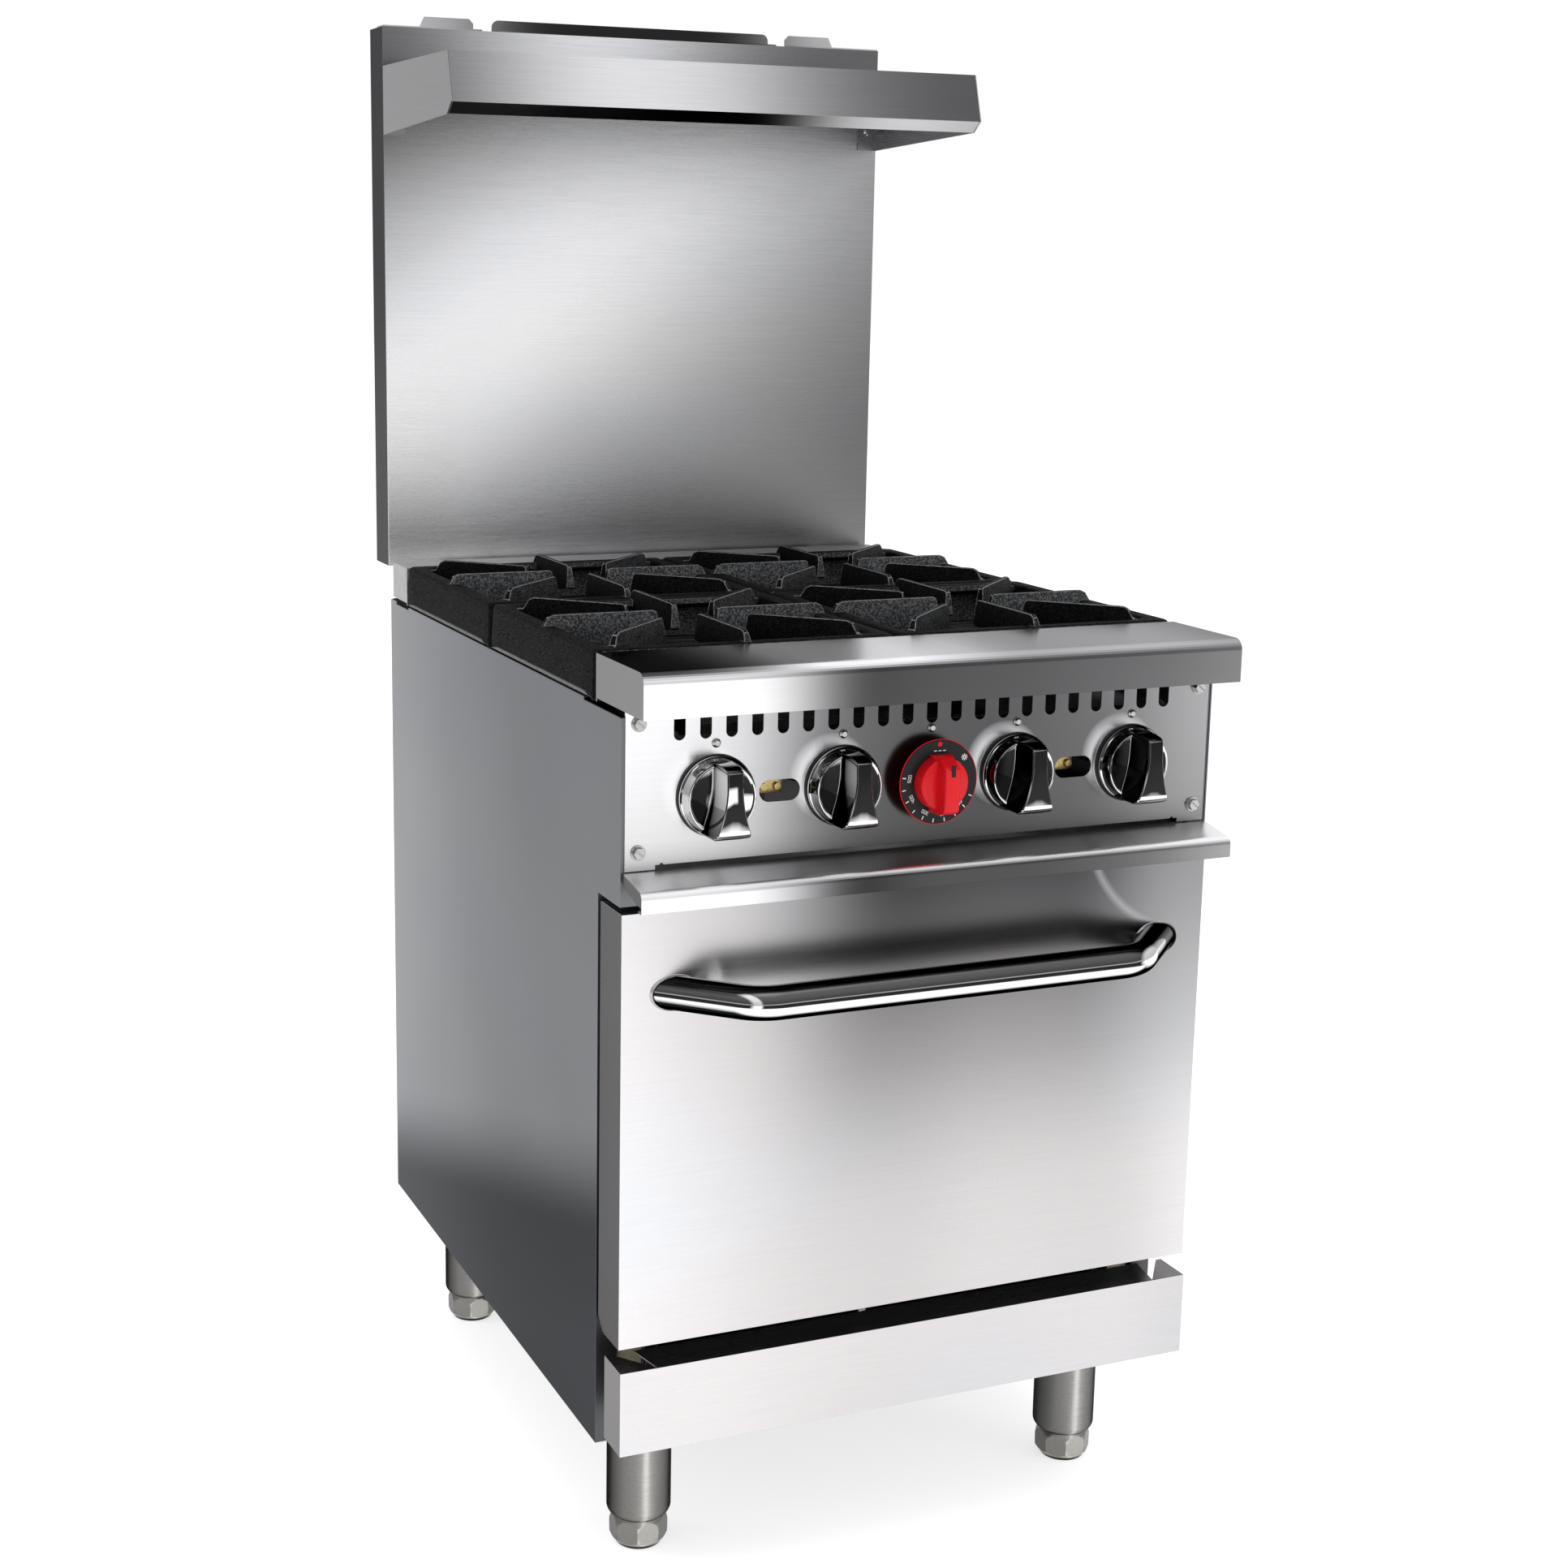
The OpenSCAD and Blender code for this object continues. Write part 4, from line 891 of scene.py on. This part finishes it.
# Each numeral's strokes, and each stroke's x, y and whether it stands upright.
DIGITS = {
    "0": "abcdef", "1": "bc", "2": "abged", "3": "abgcd", "4": "fgbc", "5": "afgcd",
}
STROKES = {
    "a": (0, 1, 0), "b": (0.5, 0.5, 1), "c": (0.5, -0.5, 1), "d": (0, -1, 0),
    "e": (-0.5, -0.5, 1), "f": (-0.5, 0.5, 1), "g": (0, 0, 0),
}


def around(radius, angle):
    """The point at an angle on a circle round the dial's middle."""
    return (radius * math.cos(angle), radius * math.sin(angle))


def number(bm, text, centre, turn, size):
    """Plain stroke numerals, upright along the given direction."""
    c = math.cos(turn)
    s = math.sin(turn)
    for k, digit in enumerate(text):
        shift = (k - (len(text) - 1) / 2) * 1.75
        for stroke in DIGITS[digit]:
            x, y, upright = STROKES[stroke]
            px = (x * 1.1 + shift) * size
            py = y * size
            place = (centre[0] + px * c - py * s, centre[1] + px * s + py * c)
            angle = turn + (math.pi / 2 if upright else 0)
            bar(bm, place, angle, size * 1.15, size * 0.3)


def dial_marks():
    """Ticks with every second one numbered, a small star and three dashes at the top."""
    first = 171
    step = 18.3
    tick_radius = 36.2
    number_radius = 30.6
    bm = bmesh.new()
    for i in range(10):
        a = math.radians(first + step * i)
        bar(bm, around(tick_radius, a), a, 3.6, MARK_WIDTH)
        if i % 2 == 0:
            number(bm, str(500 - 50 * i), around(number_radius, a), a + math.pi / 2 + math.pi, 1.5)
    star = around(33.5, math.radians(40))
    for k in range(4):
        bar(bm, star, k * math.pi / 4, 6.4, MARK_WIDTH)
    for x in (-4.6, 0.0, 4.6):
        bar(bm, (x, 29.2), 0, 3.0, MARK_WIDTH)
    return bm


def dial_plate():
    """The black ring round the hub and the black pointer on the grip."""
    bm = bmesh.new()
    inner = 25.3
    outer = 38.7
    low = 16.0
    revolve(bm, [
        (inner, low), (outer, low), (outer + 0.3, low + 0.3), (outer, PLATE_TOP), (inner, PLATE_TOP),
        (inner, low),
    ])
    bar(bm, (0, 15.5), math.pi / 2, 11.0, 4.2, 44.0, 44.75)
    return bm


def dial_dot():
    """The red dot at the top of the dial."""
    bm = bmesh.new()
    revolve(bm, [(0, MARK_LOW), (2.3, MARK_LOW), (2.2, 17.0), (0, 17.05)], 24)
    move(bm, (0, 35.2, 0))
    return bm


def make_knobs():
    for name in BURNER_KNOBS:
        look = name + "_look"
        bm = burner_knob()
        on_panel(bm, panel_place(name))
        link(look, to_mesh(look, bm, 28), ["knob_chrome"], name, [name])


# Each piece of the thermostat: its maker, crisp angle and material, then the CAD nodes it stands for.
THERMOSTAT = {
    "thermostat_grip": (thermostat_knob, 30, "red_plastic", ["thermostat_knob"]),
    "thermostat_plate": (dial_plate, 40, "dial_black", ["thermostat_dial"]),
    "dial_marks": (dial_marks, 35, "mark_white", []),
    "dial_dot": (dial_dot, 35, "red_plastic", []),
}


def make_thermostat():
    for name, (maker, crisp, material, replaced) in THERMOSTAT.items():
        bm = maker()
        on_panel(bm, panel_place("thermostat_knob"))
        link(name, to_mesh(name, bm, crisp), [material], "thermostat", replaced)


# Grates, built round their own middle and at their own height

SIDE_MARKS = (0.86, 0.81, 0.5, 0.0, -0.5, -0.81, -0.86)
FINGER_RISE = 10.5
STRAIGHT_SHOULDER = 141
STRAIGHT_TIP = 32
DIAGONAL_SHOULDER = 168
DIAGONAL_ROOT = 192
DIAGONAL_TIP = 64


def corner_arc(cx, cy, radius, start):
    """Points along a quarter circle from the start angle, in degrees."""
    steps = 6
    angles = (math.radians(start + 90 * i / steps) for i in range(steps + 1))
    return [(cx + radius * math.cos(a), cy + radius * math.sin(a)) for a in angles]


def rounded_loop(half_x, half_y, corner):
    """A rounded rectangle as (x, y) points, with the side marks' points along each straight side."""
    points = []
    for quarter, (sx, sy) in enumerate(((1, 1), (-1, 1), (-1, -1), (1, -1))):
        points += corner_arc(sx * (half_x - corner), sy * (half_y - corner), corner, 90 * quarter)
        if quarter % 2 == 0:
            points += [(sx * m * (half_x - corner), sy * half_y) for m in SIDE_MARKS]
        else:
            points += [(sx * half_x, sy * m * (half_y - corner)) for m in SIDE_MARKS]
    return points


def foot_lift(half_x, half_y, x, y):
    """How far the skirt's lower edge is cut back between the feet at the grate's corners."""
    from_corner = min(max(half_x - abs(x), half_y - abs(y)), 60)
    return 5.0 * min(1.0, max(0.0, (from_corner - 25) / 2.5))


def grate_ring(bm, half_x, half_y, top, bottom):
    """The grate's frame: a skirt that flares a little, a flat rim and a rounded inner edge."""
    profile = [
        (5.8, bottom, 3), (0.2, bottom, 7), (0.0, bottom + 2, 7), (1.6, top - 4, 7), (2.4, top - 1.2, 7),
        (4.0, top, 7), (14.4, top, 16), (16.2, top - 0.8, 20), (17.0, top - 2.6, 22), (17.0, top - 6.0, 22),
        (15.6, top - 7.4, 20), (8.4, top - 8.0, 8), (6.6, top - 12, 4),
    ]
    loops = []
    for inset, z, corner in profile:
        loop = []
        for x, y in rounded_loop(half_x - inset, half_y - inset, corner):
            lift = foot_lift(half_x, half_y, x, y) if z == bottom else 0.0
            loop.append(Vector((x, y, z + lift)))
        loops.append(loop)
    loft(bm, loops + [loops[0]], caps=False)


def grate_finger(bm, turn, out, root, tip, top, ring):
    """A cast finger, wider at its foot, with a sloped outer shoulder and a cut-back inner end.

    out, root and tip are distances from the grate's middle; top and ring are heights.
    """
    outline = [
        (root, ring - 13), (root, ring - 2.5), (out + 7.5, ring - 1.0), (out + 2.0, top - 2.6),
        (out - 3.0, top - 0.2), (out - 12, top), (tip + 4, top), (tip + 0.5, top - 1.4),
        (tip - 1.0, top - 8.0), (tip - 3.0, top - 23.5), (tip - 1.5, top - 26.5),
        (tip + 12, top - 28.5), (out - 50, ring - 24), (out - 25, ring - 19),
    ]
    c = math.cos(turn)
    s = math.sin(turn)
    sides = []
    for side in (-1, 1):
        loop = []
        for r, z in outline:
            w = side * (2.3 + 2.4 * min(1.0, max(0.0, (top - z) / 22)))
            loop.append(Vector((r * c - w * s, r * s + w * c, z)))
        sides.append(loop)
    loft(bm, sides)


def grate_fingers(half_x, half_y, top, ring):
    """Four straight and four diagonal fingers as a mesh; their bevels take the edge material of wear and
    painted highlight.
    """
    bm = bmesh.new()
    for k in range(4):
        turn = math.pi / 2 * k
        root = (half_y if k % 2 else half_x) - 5
        grate_finger(bm, turn, STRAIGHT_SHOULDER, root, STRAIGHT_TIP, top, ring)
        turn += math.pi / 4
        grate_finger(bm, turn, DIAGONAL_SHOULDER, DIAGONAL_ROOT, DIAGONAL_TIP, top, ring)
    bmesh.ops.recalc_face_normals(bm, faces=bm.faces)
    sharp = [e for e in bm.edges if e.calc_face_angle(0) > math.radians(25)]
    bmesh.ops.bevel(
        bm, geom=sharp, offset=0.8, segments=2, profile=0.6, affect="EDGES",
        clamp_overlap=True, material=1)
    mesh = bpy.data.meshes.new("fingers")
    bm.to_mesh(mesh)
    bm.free()
    return mesh


def grate(half_x, half_y, top, ring, bottom):
    """One grate from its half sizes and the heights of its fingers, rim and lower edge."""
    fingers = grate_fingers(half_x, half_y, top, ring)
    bm = bmesh.new()
    grate_ring(bm, half_x, half_y, ring, bottom)
    bmesh.ops.recalc_face_normals(bm, faces=bm.faces)
    bm.from_mesh(fingers)
    bpy.data.meshes.remove(fingers)
    return bm


def make_grates():
    for name in ("grate_front_left", "grate_front_right", "grate_rear_left", "grate_rear_right"):
        lo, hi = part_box(name)
        size = (hi - lo) / MM
        top = hi.z / MM
        bm = grate(size.x / 2, size.y / 2, top, top - FINGER_RISE, lo.z / MM)
        to_metres(bm)
        move(bm, ((lo.x + hi.x) / 2, (lo.y + hi.y) / 2, 0))
        look = name + "_look"
        link(look, to_mesh(look, bm, 40), ["cast_iron", "cast_edge"], name, [name])


make_handle()
make_knobs()
make_thermostat()
make_grates()


# ---------------------------------------------------------------- stage


def sky_color(nodes, links):
    """The studio's light from each height: darker from below, and a little darker straight above."""
    coord = nodes.new("ShaderNodeTexCoord")
    split = nodes.new("ShaderNodeSeparateXYZ")
    ramp = nodes.new("ShaderNodeValToRGB")
    links.new(coord.outputs["Generated"], split.inputs[0])
    links.new(split.outputs["Z"], ramp.inputs[0])
    stops = ((0.0, 0.60), (0.30, 0.70), (0.50, 0.88), (0.80, 0.98), (1.0, 0.90))
    elements = ramp.color_ramp.elements
    for k, (at, level) in enumerate(stops):
        stop = elements[k] if k < 2 else elements.new(at)
        stop.position = at
        stop.color = (level, level, level * 1.02, 1)
    return ramp.outputs[0]


def make_world():
    """Soft white studio: plain white to the lens, and the sky's levels as light."""
    world = bpy.data.worlds.new("studio")
    world.use_nodes = True
    bpy.context.scene.world = world
    nodes = world.node_tree.nodes
    links = world.node_tree.links
    nodes.clear()
    out = nodes.new("ShaderNodeOutputWorld")
    path = nodes.new("ShaderNodeLightPath")
    mix = nodes.new("ShaderNodeMixShader")
    lit = nodes.new("ShaderNodeBackground")
    seen = nodes.new("ShaderNodeBackground")
    seen.inputs[0].default_value = (1, 1, 1, 1)
    links.new(sky_color(nodes, links), lit.inputs[0])
    links.new(path.outputs["Is Camera Ray"], mix.inputs[0])
    links.new(lit.outputs[0], mix.inputs[1])
    links.new(seen.outputs[0], mix.inputs[2])
    links.new(mix.outputs[0], out.inputs[0])


def make_floor():
    """A pale floor that glows a little, so that it meets the white round it."""
    t = Tree("floor_pale")
    t.set("Base Color", t.mix(t.noise((0.5, 0.5, 0.5)), grey(0.55), grey(0.56)))
    t.set("Roughness", 0.9)
    t.set("Emission Color", grey(1.0))
    t.set("Emission Strength", 0.70)
    reach = 30.0
    corners = [(-reach, -reach, 0), (reach, -reach, 0), (reach, reach, 0), (-reach, reach, 0)]
    mesh = bpy.data.meshes.new("floor")
    mesh.from_pydata(corners, [], [(0, 1, 2, 3)])
    mesh.materials.append(t.material)
    floor = bpy.data.objects.new("floor", mesh)
    bpy.context.scene.collection.objects.link(floor)


def area_light(name, place, size, power):
    """A soft lamp aimed at the middle of the range, unseen in its reflections."""
    data = bpy.data.lights.new(name, "AREA")
    data.shape = "RECTANGLE"
    data.size, data.size_y = size
    data.energy = power
    lamp = bpy.data.objects.new(name, data)
    bpy.context.scene.collection.objects.link(lamp)
    target = Vector((0, 0, 0.8))
    lamp.location = place
    lamp.rotation_mode = "QUATERNION"
    lamp.rotation_quaternion = (target - Vector(place)).to_track_quat("-Z", "Y")
    lamp.visible_glossy = False


def make_lights():
    area_light("key_overhead", (0.2, -0.8, 3.6), (2.6, 2.0), 34)
    area_light("front_right", (3.2, -3.4, 1.6), (1.6, 2.2), 26)
    area_light("rear_left", (-3.2, 1.2, 2.2), (1.0, 2.4), 22)


def camera_back(azimuth, elevation):
    """The direction from what the camera looks at back to the camera."""
    level = math.cos(elevation)
    return Vector((math.sin(azimuth) * level, -math.cos(azimuth) * level, math.sin(elevation)))


def make_camera():
    """Looks at the range from its front left, a little above the cooktop."""
    azimuth = math.radians(-22.90)
    elevation = math.radians(11.20)
    roll = math.radians(0.80)
    data = bpy.data.cameras.new("camera")
    data.sensor_width = 36.0
    data.lens = 54.751
    data.shift_x = 0.0511
    data.shift_y = -0.0357
    camera = bpy.data.objects.new("camera", data)
    bpy.context.scene.collection.objects.link(camera)
    camera.location = (-1.0287, -1.8965 + PANEL_Y, 1.2393)
    aim = (-camera_back(azimuth, elevation)).to_track_quat("-Z", "Y").to_matrix().to_4x4()
    camera.rotation_mode = "QUATERNION"
    camera.rotation_quaternion = (aim @ Matrix.Rotation(roll, 4, "Z")).to_quaternion()
    bpy.context.scene.camera = camera


make_world()
make_floor()
make_lights()
make_camera()
bpy.context.scene.view_settings.view_transform = "Standard"
